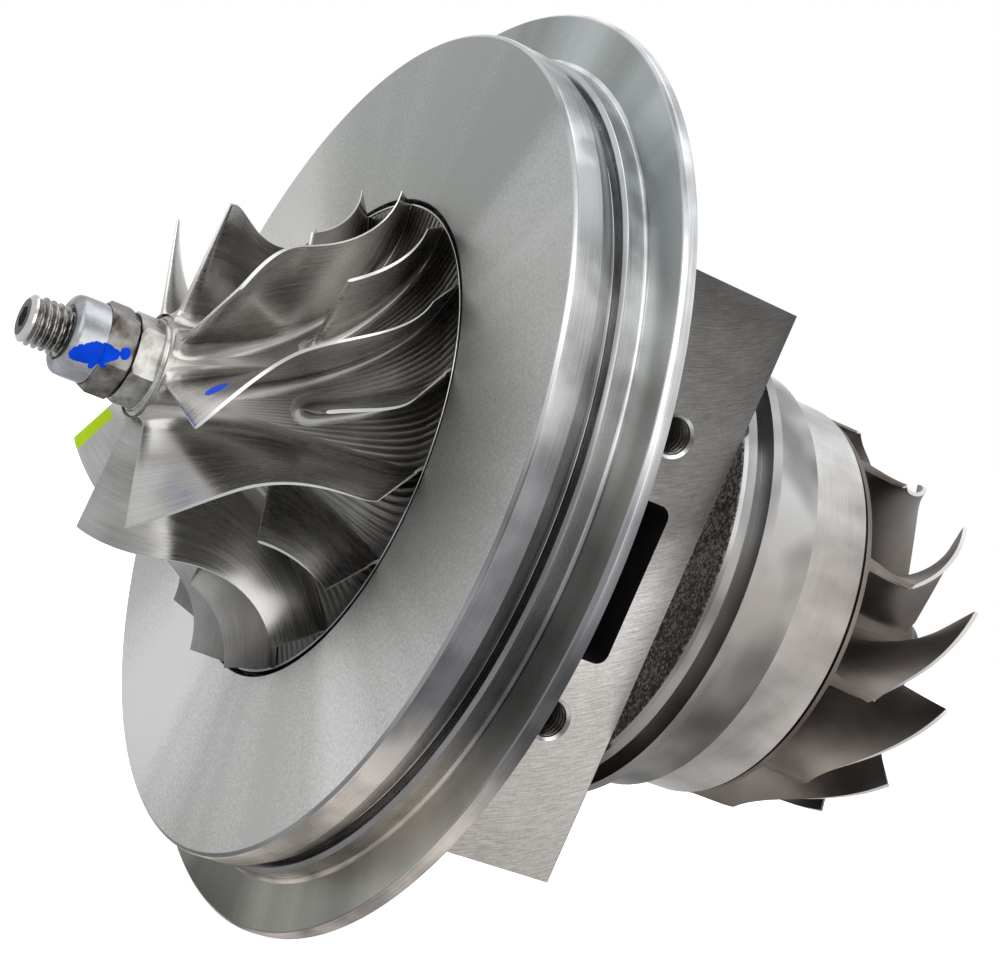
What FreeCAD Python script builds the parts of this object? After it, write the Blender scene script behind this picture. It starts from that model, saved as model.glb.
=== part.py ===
import FreeCAD, Part
import math
import os
from FreeCAD import Vector

# Turbocharger cartridge: compressor wheel, backplate, bearing housing, rotor and turbine wheel.
# Millimetres. +X runs along the shaft from the compressor to the turbine, -Y is the outward normal of
# the oil drain pad and +Z is the long way of that pad. The origin lies on the shaft axis in the plane
# of the face that the compressor cover seats on.

# Clearances
running_fit = 0.05
bolt_clearance = 0.3
axial_clearance = 0.15
seat_clearance = 0.02

# Backplate
register_depth = 18.0
register_radius = 101.3
disc_radius = 101.0
disc_chamfer = 0.9
disc_rim_length = 6.2
relief_radius = 99.6
relief_length = 3.3
cover_groove_width = 2.1
cover_groove_radius = 97.4
land_length = 4.8
flange_radius = 114.2
flange_rim_length = 2.3
flange_chamfer = 0.9
flange_taper_length = 3.8
flange_taper_depth = 9.5
pocket_wall_gap = 0.9
pocket_floor_gap = 1.0
backplate_web = 7.6
backplate_recess_radius = 48.0
backplate_back_groove_inner = 81.0
backplate_back_groove_outer = 93.0
backplate_front_wall = 8.0
spigot_radius = 56.0
spigot_length = 3.0
spigot_groove_offset = 0.6
spigot_groove_width = 1.6
spigot_groove_depth = 1.2
backplate_bolt_count = 8
backplate_bolt_radius = 4.0
backplate_bolt_bite = 7.0
backplate_washer_radius = 7.8
spanner_clearance = 2.2

# Compressor wheel
compressor_blades = 8
compressor_inlet_radius = 41.0
compressor_inlet_length = 16.1
compressor_curve_length = 20.9
compressor_tip_radius = 59.2
compressor_disc_radius = 58.0
compressor_rim_thickness = 2.7
compressor_width = 7.5
compressor_back_depth = 10.9
compressor_back_radius = 15.5
compressor_hub_radius = 13.0
compressor_hub_length = 6.5
compressor_nose_radius = 9.6
compressor_hex_width = 19.0
compressor_hex_length = 5.4
hexagon_phase = 49.0
compressor_root_thickness = 2.6
compressor_edge_thickness = 1.2
compressor_phase = 37.1
compressor_tip_wrap = 45.5
compressor_tip_sweep = 3.3
compressor_hub_wrap = 53.5
compressor_hub_sweep = 5.1
splitter_tip_start = 0.535
splitter_hub_start = 0.45

# Turbine wheel
turbine_blades = 11
turbine_inlet_radius = 51.7
turbine_inlet_width = 13.6
turbine_disc_radius = 51.9
turbine_disc_thickness = 1.2
turbine_curve_length = 24.0
turbine_curve_depth = 10.0
turbine_outlet_radius = 45.5
turbine_outlet_length = 4.0
turbine_hub_radius = 14.0
turbine_hub_length = 46.0
turbine_boss_radius = 10.5
turbine_boss_length = 8.0
turbine_root_thickness = 3.4
turbine_edge_thickness = 1.2
turbine_phase = 23.6
turbine_inlet_rake = 2.6
turbine_tip_wrap = 37.4
turbine_hub_wrap = 16.0
turbine_weld_length = 3.2

# Rotor parts
shaft_thread_radius = 5.95
shaft_tip_length = 18.5
shaft_stub_radius = 6.0
shaft_journal_radius = 8.0
shaft_waist_radius = 7.2
shaft_waist_length = 24.0
shaft_slinger_width = 3.0
shaft_boss_radius = 13.0
shaft_boss_length = 14.0
turbine_seal_offset = 7.0
turbine_boss_gap = 8.0
socket_width = 5.0
socket_depth = 7.0
nut_collar_radius = 9.4
nut_collar_length = 7.6
nut_width = 19.0
nut_hex_length = 6.5
slinger_radius = 12.7
slinger_length = 12.5
slinger_disc_radius = 18.0
slinger_disc_width = 3.0
collar_radius = 15.0
collar_flange_width = 3.1
collar_groove_radius = 10.0
collar_groove_width = 6.1
seal_ring_width = 1.6
seal_ring_depth = 1.9

# Bearings
bearing_length = 14.0
bearing_wall = 4.0
bearing_start_gap = 2.5
bearing_span = 46.0
bearing_hole_radius = 1.5
snap_ring_width = 1.3
snap_ring_bite = 1.2
snap_ring_opening = 7.0
thrust_plate_radius = 36.0
thrust_slot_width = 21.0
thrust_screw_radius = 2.5
thrust_screw_circle = 28.0
thrust_screw_bite = 8.0
deflector_thickness = 1.2
thrust_oil_groove_length = 7.0

# Bearing housing
housing_flange_radius = 76.0
housing_flange_thickness = 9.0
barrel_radius = 46.0
barrel_neck_length = 9.0
cavity_radius = 36.0
boss_radius = 21.0
pad_distance = 47.1
pad_length = 143.5
pad_centre = -2.9
pad_width = 34.0
pad_thickness = 13.0
drain_slot_length = 39.4
drain_slot_width = 14.8
drain_slot_corner = 3.0
drain_bolt_spacing = 70.6
drain_bolt_radius = 4.5
drain_bolt_mouth = 5.3
drain_bolt_depth = 15.0
inlet_boss_radius = 15.0
inlet_boss_height = 53.0
inlet_thread_radius = 5.4
inlet_thread_depth = 14.0
oilway_radius = 2.0
oilway_web_width = 14.0
gallery_width = 26.0
gallery_height = 10.0
gallery_overlap = 4.0
ring_front_radius = 60.4
ring_land_radius = 61.4
ring_rear_radius = 62.5
ring_front_width = 3.7
ring_groove_width = 4.0
ring_groove_radius = 58.0
ring_rear_width = 2.7
pilot_radius = 55.5
pilot_length = 16.7
shield_spigot_radius = 49.4
shield_spigot_length = 4.5
end_wall_radius = 45.0
end_wall_thickness = 10.0

# Heat shield
shield_radius = 52.4
shield_length = 18.3
shield_floor = 2.6
shield_gap = 0.9

# Places along the shaft that several pieces share
disc_front = -register_depth
joint_face = flange_chamfer + flange_rim_length + flange_taper_length
wheel_floor = disc_front + 0.1
wheel_back = wheel_floor + compressor_back_depth
collar_start = wheel_back + slinger_length
collar_end = collar_start + 2 * collar_flange_width + collar_groove_width - 0.3
thrust_front = collar_start + collar_flange_width + axial_clearance
thrust_back = collar_start + collar_flange_width + collar_groove_width - axial_clearance
bearing_one = collar_end + bearing_start_gap
bearing_two = bearing_one + bearing_span
boss_start = bearing_two + bearing_length + turbine_boss_gap
boss_end = boss_start + shaft_boss_length
turbine_back = boss_end + turbine_weld_length
shield_back = turbine_back - shield_gap
pilot_back = shield_back - shield_length
ring_back = pilot_back - pilot_length
ring_front = ring_back - ring_rear_width - ring_groove_width - ring_front_width
pad_middle = ring_front - pad_width / 2
wheel_inlet = wheel_floor - compressor_width - compressor_inlet_length - compressor_curve_length
nose_start = wheel_inlet - 2.4 - compressor_hex_length
nut_start = nose_start - 0.5 - nut_hex_length - nut_collar_length
shaft_tip = nut_start + nut_collar_length + nut_hex_length - 5.0 - shaft_tip_length
bearing_bore = shaft_journal_radius + 2 * running_fit + bearing_wall
seal_bore = slinger_radius + 0.3
turbine_seal_bore = shaft_boss_radius + 0.3
backplate_bolt_circle = (spigot_radius + housing_flange_radius) / 2
barrel_neck_radius = backplate_bolt_circle - backplate_washer_radius - spanner_clearance - 2.0
X_AXIS = Vector(1, 0, 0)
ORIGIN = Vector(0, 0, 0)


def spot(x, radius, angle):
    "a point at a place along the shaft, a radius and an angle from -Y towards +Z"
    turn = math.radians(angle)
    return Vector(x, -radius * math.cos(turn), radius * math.sin(turn))


def revolved(outline):
    "a solid turned about the shaft axis from points (x, radius)"
    points = [Vector(x, 0, radius) for x, radius in outline]
    wire = Part.makePolygon(points + [points[0]])
    return Part.Face(wire).revolve(ORIGIN, X_AXIS, 360)


def ring(x_start, x_end, inner, outer):
    "a plain turned ring"
    return revolved([(x_start, inner), (x_end, inner), (x_end, outer), (x_start, outer)])


def rod(x_start, x_end, radius):
    "a plain round bar along the shaft axis"
    return Part.makeCylinder(radius, x_end - x_start, Vector(x_start, 0, 0), X_AXIS)


def hexagon_bar(x_start, x_end, width, angle):
    "a six-sided bar along the shaft axis, with a corner at the angle"
    corner = width / math.sqrt(3)
    points = [spot(x_start, corner, angle + 60 * k) for k in range(6)]
    face = Part.Face(Part.makePolygon(points + [points[0]]))
    return face.extrude(Vector(x_end - x_start, 0, 0))


def around(shape, count, phase=0.0):
    "copies of a shape spaced evenly about the shaft axis"
    copies = []
    for k in range(count):
        copy = shape.copy()
        copy.rotate(ORIGIN, X_AXIS, phase + 360.0 * k / count)
        copies.append(copy)
    return copies


def drilled(start, end, radius):
    "a round drilling between two points"
    way = end - start
    return Part.makeCylinder(radius, way.Length, start, way)


def write(name, shapes):
    "one file for each named piece or group of like pieces"
    shape = shapes if not isinstance(shapes, list) else Part.makeCompound(shapes)
    shape.exportStep("parts/" + name + ".step")


def hexagon_bolt(x_head, direction, radius, length, head_width, head_height, y, z):
    "a hexagon-headed bolt whose head seats at x_head and whose shank runs in the direction"
    shank = Part.makeCylinder(radius, length, Vector(x_head, y, z), Vector(direction, 0, 0))
    corner = head_width / math.sqrt(3)
    points = []
    for k in range(6):
        turn = math.radians(60 * k)
        points.append(Vector(x_head, y + corner * math.cos(turn), z + corner * math.sin(turn)))
    head = Part.Face(Part.makePolygon(points + [points[0]]))
    head = head.extrude(Vector(-direction * head_height, 0, 0))
    cap = Part.makeCone(corner + head_height, corner * 0.88, head_height, Vector(x_head, y, z),
                        Vector(-direction, 0, 0))
    return shank.fuse(head.common(cap))


# Blades

def quarter(start, end, share):
    "a quarter ellipse between two points (x, radius): it leaves the first along x and ends square to it"
    turn = share * math.pi / 2
    x = start[0] + (end[0] - start[0]) * math.sin(turn)
    radius = end[1] + (start[1] - end[1]) * math.cos(turn)
    return x, radius


def straight_then_quarter(start, corner, end, share):
    "a straight run from start to corner and a quarter ellipse on to the end, by share of the length"
    run = math.hypot(corner[0] - start[0], corner[1] - start[1])
    bend = math.pi / 4 * (abs(end[0] - corner[0]) + abs(end[1] - corner[1]))
    along = share * (run + bend)
    if along < run:
        part = along / run
        return start[0] + (corner[0] - start[0]) * part, start[1] + (corner[1] - start[1]) * part
    return quarter(corner, end, (along - run) / bend)


def bladed_loft(root_at, edge_at, shares, root_thickness, edge_thickness, sink, nose):
    "a twisted blade lofted through flat sections, from its leading edge to its trailing edge"
    sections = []
    step = 0.004
    for share in shares:
        root = root_at(share)
        edge = edge_at(share)
        before = (root_at(share - step) + edge_at(share - step)) * 0.5
        after = (root_at(share + step) + edge_at(share + step)) * 0.5
        span = (edge - root).normalize()
        across = (after - before).normalize().cross(span).normalize()
        root = root - span * sink
        thin = min(1.0, nose + (1.0 - nose) * (share - shares[0]) / 0.06)
        half_root = across * (root_thickness / 2 * thin)
        half_edge = across * (edge_thickness / 2 * thin)
        corners = [root - half_root, root + half_root, edge + half_edge, edge - half_edge]
        sections.append(Part.makePolygon(corners + [corners[0]]))
    return Part.makeLoft(sections, True, False)


def compressor_hub_line(share):
    return straight_then_quarter((wheel_inlet, compressor_hub_radius - 0.5),
                                 (wheel_inlet + compressor_hub_length, compressor_hub_radius),
                                 (wheel_floor, compressor_disc_radius - 0.4), share)


def compressor_edge_line(share):
    return straight_then_quarter((wheel_inlet, compressor_inlet_radius),
                                 (wheel_inlet + compressor_inlet_length, compressor_inlet_radius),
                                 (wheel_floor - compressor_width, compressor_tip_radius), share)


def compressor_turn(share, wrap, sweep):
    share = min(max(share, -0.1), 1.1)
    return compressor_phase + wrap * (1 - (1 - share) ** 3) + sweep * max(share, 0.0) ** 6


def compressor_root(share):
    x, radius = compressor_hub_line(share)
    return spot(x, radius, compressor_turn(share, compressor_hub_wrap, compressor_hub_sweep))


def compressor_edge(share):
    x, radius = compressor_edge_line(share)
    return spot(x, radius, compressor_turn(share, compressor_tip_wrap, compressor_tip_sweep))


def splitter_root(share):
    return compressor_root(splitter_hub_start + (1 - splitter_hub_start) * share)


def splitter_edge(share):
    return compressor_edge(splitter_tip_start + (1 - splitter_tip_start) * share)


def compressor_wheel():
    "milled wheel: full and splitter blades on a trumpet hub with a six-sided nose"
    corner = (wheel_inlet + compressor_hub_length, compressor_hub_radius)
    rim = (wheel_floor, compressor_disc_radius)
    outline = [(nose_start, shaft_stub_radius + seat_clearance), (nose_start, compressor_nose_radius),
               (nose_start + compressor_hex_length, compressor_nose_radius + 0.6)]
    outline.append((wheel_inlet, compressor_hub_radius - 0.5))
    curve_steps = 14
    for k in range(curve_steps + 1):
        outline.append(quarter(corner, rim, k / curve_steps))
    outline.append((wheel_floor + compressor_rim_thickness, compressor_disc_radius))
    outline.append((wheel_back, compressor_back_radius))
    outline.append((wheel_back, shaft_stub_radius + seat_clearance))
    hub = revolved(outline)
    hexagon_end = nose_start + compressor_hex_length + 0.8
    hexagon_corner = compressor_hex_width / math.sqrt(3)
    hexagon = hexagon_bar(nose_start + 0.4, hexagon_end, compressor_hex_width, hexagon_phase)
    bevel = revolved([(nose_start, 0), (nose_start, compressor_nose_radius),
                      (nose_start + 1.6, hexagon_corner), (hexagon_end, hexagon_corner), (hexagon_end, 0)])
    bore = rod(nose_start - 1, wheel_back + 1, shaft_stub_radius + seat_clearance)
    hexagon = hexagon.common(bevel).cut(bore)
    shares = [k / 9 for k in range(10)]
    shares.insert(1, 0.04)
    full = bladed_loft(compressor_root, compressor_edge, shares, compressor_root_thickness,
                       compressor_edge_thickness, 1.3, 0.5)
    splitter = bladed_loft(splitter_root, splitter_edge, [0, 0.08, 0.25, 0.42, 0.6, 0.8, 1.0],
                           compressor_root_thickness, compressor_edge_thickness, 1.3, 0.5)
    blades = around(full, compressor_blades)
    blades += around(splitter, compressor_blades, 180.0 / compressor_blades)
    return hub.multiFuse([hexagon] + blades)


def turbine_hub_line(share):
    return quarter((turbine_back + turbine_disc_thickness + turbine_hub_length, turbine_hub_radius),
                   (turbine_back + turbine_disc_thickness, turbine_inlet_radius), 1 - share)


def turbine_edge_line(share):
    "the outer edge after the inlet: an elliptic arc and a short straight run"
    start = turbine_back + turbine_disc_thickness + turbine_inlet_width - 0.8
    x = start + share * (turbine_curve_length + turbine_outlet_length)
    reach = max(0.0, 1 - (x - start) / turbine_curve_length)
    rise = turbine_curve_depth * (1 - math.sqrt(max(0.0, 1 - reach * reach)))
    return x, min(turbine_inlet_radius, turbine_outlet_radius + rise)


def turbine_root(share):
    x, radius = turbine_hub_line(share)
    turn = turbine_phase + turbine_inlet_rake + turbine_hub_wrap * (0.3 * share + 0.7 * share ** 2)
    return spot(x, radius, turn)


def turbine_edge(share):
    x, radius = turbine_edge_line(share)
    return spot(x, radius, turbine_phase + turbine_tip_wrap * (0.5 * share + 0.5 * share ** 3))


def turbine_wheel():
    "cast radial-inflow wheel: blades on a full disc, with a boss at the outlet end"
    floor = turbine_back + turbine_disc_thickness
    outline = [(boss_end, 0), (boss_end, shaft_boss_radius), (turbine_back, shaft_boss_radius),
               (turbine_back, turbine_disc_radius), (floor, turbine_disc_radius)]
    curve_steps = 12
    for k in range(curve_steps + 1):
        outline.append(turbine_hub_line(k / curve_steps))
    hub_end = floor + turbine_hub_length
    outline.append((hub_end + 2.5, turbine_hub_radius))
    outline.append((hub_end + 4.0, turbine_boss_radius + 0.8))
    outline.append((hub_end + turbine_boss_length, turbine_boss_radius))
    outline.append((hub_end + turbine_boss_length, 0))
    hub = revolved(outline)
    shares = [k / 8 for k in range(9)]
    blade = bladed_loft(turbine_root, turbine_edge, shares, turbine_root_thickness,
                        turbine_edge_thickness, 0.9, 0.6)
    return hub.multiFuse(around(blade, turbine_blades))


# Rotor

def shaft():
    "stepped shaft with a hexagon socket at its threaded end and a grooved seal boss at the turbine"
    middle = (bearing_one + bearing_two + bearing_length) / 2
    outline = [(shaft_tip, 0), (shaft_tip, shaft_thread_radius - 0.7), (shaft_tip + 0.7, shaft_thread_radius),
               (nose_start, shaft_thread_radius), (nose_start, shaft_stub_radius),
               (collar_end, shaft_stub_radius), (collar_end, shaft_journal_radius),
               (middle - shaft_waist_length / 2, shaft_journal_radius),
               (middle - shaft_waist_length / 2 + 1, shaft_waist_radius),
               (middle + shaft_waist_length / 2 - 1, shaft_waist_radius),
               (middle + shaft_waist_length / 2, shaft_journal_radius),
               (boss_start - shaft_slinger_width - 1, shaft_journal_radius),
               (boss_start - shaft_slinger_width, shaft_waist_radius),
               (boss_start, shaft_waist_radius), (boss_start, shaft_boss_radius)]
    groove = boss_start + turbine_seal_offset
    outline += ring_groove(groove, shaft_boss_radius)
    outline += [(boss_end, shaft_boss_radius), (boss_end, 0)]
    body = revolved(outline)
    return body.cut(hexagon_bar(shaft_tip - 1, shaft_tip + socket_depth, socket_width, 19))


def ring_groove(x, radius):
    "outline points of a groove for a seal ring, starting at x on a bar of the radius"
    floor = radius - seal_ring_depth - 0.25
    width = seal_ring_width + 2 * axial_clearance
    return [(x, radius), (x, floor), (x + width, floor), (x + width, radius)]


def seal_ring(x, bar_radius, bore_radius):
    "a split seal ring that springs against its bore and floats in its groove"
    start = x + axial_clearance
    outer = bore_radius - seat_clearance
    body = ring(start, start + seal_ring_width, bar_radius - seal_ring_depth, outer)
    gap = Part.makeBox(seal_ring_width + 2, outer + 2, 0.5, Vector(start - 1, 0, -0.25))
    return body.cut(gap)


def compressor_nut():
    "hexagon nut with a plain domed collar at its outer end"
    collar_end_x = nut_start + nut_collar_length
    end = collar_end_x + nut_hex_length
    bore = shaft_thread_radius + seat_clearance
    collar = revolved([(nut_start, bore), (nut_start, bore + 1.4), (nut_start + 0.9, nut_collar_radius - 0.9),
                       (nut_start + 2.4, nut_collar_radius), (collar_end_x + 1, nut_collar_radius),
                       (collar_end_x + 1, bore)])
    corner = nut_width / math.sqrt(3)
    bevel = revolved([(collar_end_x, bore), (collar_end_x, nut_collar_radius), (collar_end_x + 1.0, corner),
                      (end - 0.5, corner), (end, corner - 0.9), (end, bore)])
    return collar.fuse(hexagon_bar(collar_end_x, end, nut_width, hexagon_phase).common(bevel))


def oil_slinger():
    "sleeve between the wheel and the thrust collar, with two seal grooves and a slinging disc"
    bore = shaft_stub_radius + seat_clearance
    outline = [(wheel_back, bore), (wheel_back, slinger_radius)]
    outline += ring_groove(slinger_groove(0), slinger_radius)
    outline += ring_groove(slinger_groove(1), slinger_radius)
    disc = collar_start - slinger_disc_width
    outline += [(disc, slinger_radius), (disc, slinger_disc_radius - 1), (disc + 1, slinger_disc_radius),
                (collar_start, slinger_disc_radius), (collar_start, bore)]
    return revolved(outline)


def slinger_groove(number):
    return wheel_back + 2.4 + number * (seal_ring_width + 2 * axial_clearance + 1.4)


def thrust_collar():
    "spool that turns with the shaft and carries its end thrust on both faces of the thrust bearing"
    bore = shaft_stub_radius + seat_clearance
    groove = collar_start + collar_flange_width
    return revolved([(collar_start, bore), (collar_start, collar_radius), (groove, collar_radius),
                     (groove, collar_groove_radius), (groove + collar_groove_width, collar_groove_radius),
                     (groove + collar_groove_width, collar_radius), (collar_end, collar_radius),
                     (collar_end, bore)])


# Backplate and its fixings

def backplate():
    "turned disc that closes the compressor: cover register, clamping flange and wheel pocket"
    pocket_radius = compressor_disc_radius + pocket_wall_gap
    floor_rim = wheel_floor + compressor_rim_thickness + pocket_floor_gap
    floor_middle = wheel_back + pocket_floor_gap
    groove_start = disc_front + disc_chamfer + disc_rim_length + relief_length
    groove_end = groove_start + cover_groove_width
    web_back = floor_middle + backplate_web
    outline = [(disc_front, pocket_radius), (disc_front, disc_radius - disc_chamfer),
               (disc_front + disc_chamfer, disc_radius),
               (disc_front + disc_chamfer + disc_rim_length, disc_radius),
               (groove_start, relief_radius), (groove_start, cover_groove_radius),
               (groove_end, cover_groove_radius), (groove_end, register_radius - 1.0),
               (-land_length, register_radius), (0, register_radius),
               (0, flange_radius - 0.8), (flange_chamfer, flange_radius),
               (flange_chamfer + flange_rim_length, flange_radius),
               (joint_face, flange_radius - flange_taper_depth),
               (joint_face, backplate_back_groove_outer),
               (disc_front + backplate_front_wall, backplate_back_groove_outer - 2),
               (disc_front + backplate_front_wall, backplate_back_groove_inner + 2),
               (joint_face, backplate_back_groove_inner), (joint_face, spigot_radius)]
    groove = joint_face + spigot_groove_offset
    outline += [(groove, spigot_radius), (groove, spigot_radius - spigot_groove_depth),
                (groove + spigot_groove_width, spigot_radius - spigot_groove_depth),
                (groove + spigot_groove_width, spigot_radius),
                (joint_face + spigot_length, spigot_radius),
                (joint_face + spigot_length, backplate_recess_radius),
                (web_back, backplate_recess_radius - 6), (web_back, seal_bore),
                (floor_middle, seal_bore), (floor_middle, compressor_back_radius),
                (floor_rim, pocket_radius)]
    body = revolved(outline)
    hole = Part.makeCylinder(backplate_bolt_radius + seat_clearance, backplate_bolt_bite + 1,
                             spot(joint_face + 1, backplate_bolt_circle, bolt_phase()), Vector(-1, 0, 0))
    return body.cut(Part.makeCompound(around(hole, backplate_bolt_count)))


def bolt_phase():
    "the bolts straddle the drain pad"
    return 180.0 / backplate_bolt_count


def backplate_bolts():
    "hexagon-headed bolts that hold the bearing housing to the backplate, put in from behind"
    seat = joint_face + housing_flange_thickness + washer_thickness()
    place = spot(seat, backplate_bolt_circle, bolt_phase())
    bolt = hexagon_bolt(seat, -1, backplate_bolt_radius, seat - joint_face + backplate_bolt_bite - 1.0,
                        3.2 * backplate_bolt_radius, 1.3 * backplate_bolt_radius, place.y, place.z)
    return around(bolt, backplate_bolt_count)


def washer_thickness():
    return 0.4 * backplate_bolt_radius


def backplate_washers():
    seat = joint_face + housing_flange_thickness
    place = spot(seat, backplate_bolt_circle, bolt_phase())
    outer = Part.makeCylinder(backplate_washer_radius, washer_thickness(), place, X_AXIS)
    inner = Part.makeCylinder(backplate_bolt_radius + bolt_clearance, washer_thickness(), place, X_AXIS)
    return around(outer.cut(inner), backplate_bolt_count)


def spigot_o_ring():
    "the seal between the backplate spigot and the bearing housing, as squeezed in its groove"
    start = joint_face + spigot_groove_offset
    return ring(start + 0.05, start + spigot_groove_width - 0.05, spigot_radius - spigot_groove_depth,
                spigot_radius + running_fit)


# Thrust bearing and its fixings

def thrust_bearing():
    "bronze plate with a slot that lets the collar's groove in, oil pads and screw holes"
    plate = ring(thrust_front, thrust_back, 0, thrust_plate_radius)
    width = thrust_slot_width
    through = thrust_back - thrust_front + 2
    slot = Part.makeBox(through, thrust_plate_radius + 1, width, Vector(thrust_front - 1, 0, -width / 2))
    slot = slot.fuse(rod(thrust_front - 1, thrust_back + 1, width / 2))
    plate = plate.cut(slot)
    hole = Part.makeCylinder(thrust_screw_radius + bolt_clearance, through,
                             spot(thrust_front - 1, thrust_screw_circle, 0), X_AXIS)
    plate = plate.cut(Part.makeCompound(around(hole, 3)))
    groove = Part.makeBox(0.5, 1.6, thrust_oil_groove_length, Vector(thrust_front, -0.8, -collar_radius))
    grooves = [groove.copy() for k in range(3)]
    for k in range(3):
        grooves[k].rotate(ORIGIN, X_AXIS, 45 * k - 45)
    return plate.cut(Part.makeCompound(grooves))


def thrust_screws():
    "three hexagon-headed screws through the deflector and the thrust bearing"
    head = thrust_front - deflector_thickness
    length = thrust_back - head + thrust_screw_bite
    screw = hexagon_bolt(head, 1, thrust_screw_radius, length, 3.4 * thrust_screw_radius,
                         0.8 * thrust_screw_radius, -thrust_screw_circle, 0)
    return around(screw, 3)


def oil_deflector():
    "thin steel plate in front of the thrust bearing that throws the oil down to the drain"
    front = thrust_front - deflector_thickness
    plate = ring(front, thrust_front, collar_radius + 1.2, thrust_plate_radius)
    hole = Part.makeCylinder(thrust_screw_radius + bolt_clearance, deflector_thickness + 2,
                             spot(front - 1, thrust_screw_circle, 0), X_AXIS)
    return plate.cut(Part.makeCompound(around(hole, 3)))


# Journal bearings

def journal_bearing(start):
    "floating bronze bush with cross holes and bevelled ends"
    inner = shaft_journal_radius + running_fit
    outer = bearing_bore - running_fit
    end = start + bearing_length
    body = revolved([(start, inner + 0.5), (start + 0.5, inner), (end - 0.5, inner), (end, inner + 0.5),
                     (end, outer - 0.6), (end - 0.6, outer), (start + 0.6, outer), (start, outer - 0.6)])
    hole = Part.makeCylinder(bearing_hole_radius, outer + 2,
                             Vector(start + bearing_length / 2, 0, 0), Vector(0, 1, 0))
    return body.cut(Part.makeCompound(around(hole, 6)))


def snap_ring(start):
    "sprung wire ring in a groove of the housing bore, open at the top"
    outer = bearing_bore + snap_ring_bite - seat_clearance
    body = ring(start, start + snap_ring_width, bearing_bore - 1.8, outer)
    opening = Part.makeBox(snap_ring_width + 2, outer + 2, snap_ring_opening,
                           Vector(start - 1, 0, -snap_ring_opening / 2))
    return body.cut(opening)


def snap_ring_places():
    ahead = bearing_one - axial_clearance - snap_ring_width
    behind = bearing_one + bearing_length + axial_clearance
    return [ahead, behind, ahead + bearing_span, behind + bearing_span]


# Bearing housing

def housing_body():
    "cast outline: bolted flange, barrel, grooved turbine ring and turned pilots"
    flange_back = joint_face + housing_flange_thickness
    land_end = ring_front + ring_front_width
    groove_end = land_end + ring_groove_width
    wall_end = shield_spigot_end() + end_wall_thickness
    outline = [(joint_face, 0), (joint_face, housing_flange_radius - 1),
               (joint_face + 1, housing_flange_radius), (flange_back, housing_flange_radius),
               (flange_back, barrel_neck_radius + 2), (flange_back + 2, barrel_neck_radius),
               (flange_back + barrel_neck_length, barrel_radius), (ring_front, barrel_radius),
               (ring_front, ring_front_radius), (ring_front + 1.2, ring_land_radius),
               (land_end, ring_land_radius), (land_end, ring_groove_radius),
               (groove_end, ring_groove_radius), (groove_end, ring_rear_radius),
               (ring_back, ring_rear_radius), (ring_back, pilot_radius),
               (pilot_back, pilot_radius), (pilot_back, shield_spigot_radius),
               (shield_spigot_end(), shield_spigot_radius), (shield_spigot_end(), end_wall_radius),
               (wall_end, end_wall_radius - 4), (wall_end, 0)]
    return revolved(outline)


def shield_spigot_end():
    return pilot_back + shield_spigot_length


def drain_pad():
    "the milled pad and the cast block under it"
    low = pad_centre - pad_length / 2
    high = pad_centre + pad_length / 2
    under = pad_thickness - pad_distance
    shoulder = -barrel_radius / 4
    outline = [(-pad_distance, low), (-pad_distance, high), (under, high), (shoulder, barrel_radius - 2),
               (shoulder, 2 - barrel_radius), (under, low)]
    points = [Vector(pad_middle - pad_width / 2, y, z) for y, z in outline]
    return Part.Face(Part.makePolygon(points + [points[0]])).extrude(Vector(pad_width, 0, 0))


def oil_inlet_boss():
    "the round boss for the oil feed, opposite the drain pad"
    shoulder = Vector(pad_middle, inlet_boss_height - 1, 0)
    upward = Vector(0, 1, 0)
    boss = Part.makeCylinder(inlet_boss_radius, inlet_boss_height - 1, Vector(pad_middle, 0, 0), upward)
    return boss.fuse(Part.makeCone(inlet_boss_radius, inlet_boss_radius - 1, 1, shoulder, upward))


def drain_slot():
    "the round-cornered slot through the pad into the oil cavity"
    corner = drain_slot_corner
    depth = pad_distance - barrel_radius / 2
    half_x = drain_slot_width / 2
    half_z = drain_slot_length / 2
    block = Part.makeBox(drain_slot_width, depth, drain_slot_length,
                         Vector(pad_middle - half_x, -pad_distance - 1, pad_centre - half_z))
    upright = []
    for edge in block.Edges:
        middle = edge.CenterOfMass
        along_y = abs(edge.Vertexes[0].Y - edge.Vertexes[-1].Y) > depth / 2
        if along_y and abs(abs(middle.z - pad_centre) - half_z) < 0.1:
            upright.append(edge)
    return block.makeFillet(corner, upright)


def drain_bolt_holes():
    holes = []
    for side in (-1, 1):
        mouth = Vector(pad_middle, -pad_distance, pad_centre + side * drain_bolt_spacing / 2)
        hole = Part.makeCylinder(drain_bolt_radius, drain_bolt_depth, mouth, Vector(0, 1, 0))
        flare_depth = drain_bolt_mouth - drain_bolt_radius + 0.4
        flare = Part.makeCone(drain_bolt_mouth + 0.4, drain_bolt_radius, flare_depth,
                              mouth - Vector(0, 0.4, 0), Vector(0, 1, 0))
        holes += [hole, flare]
    return holes


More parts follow.
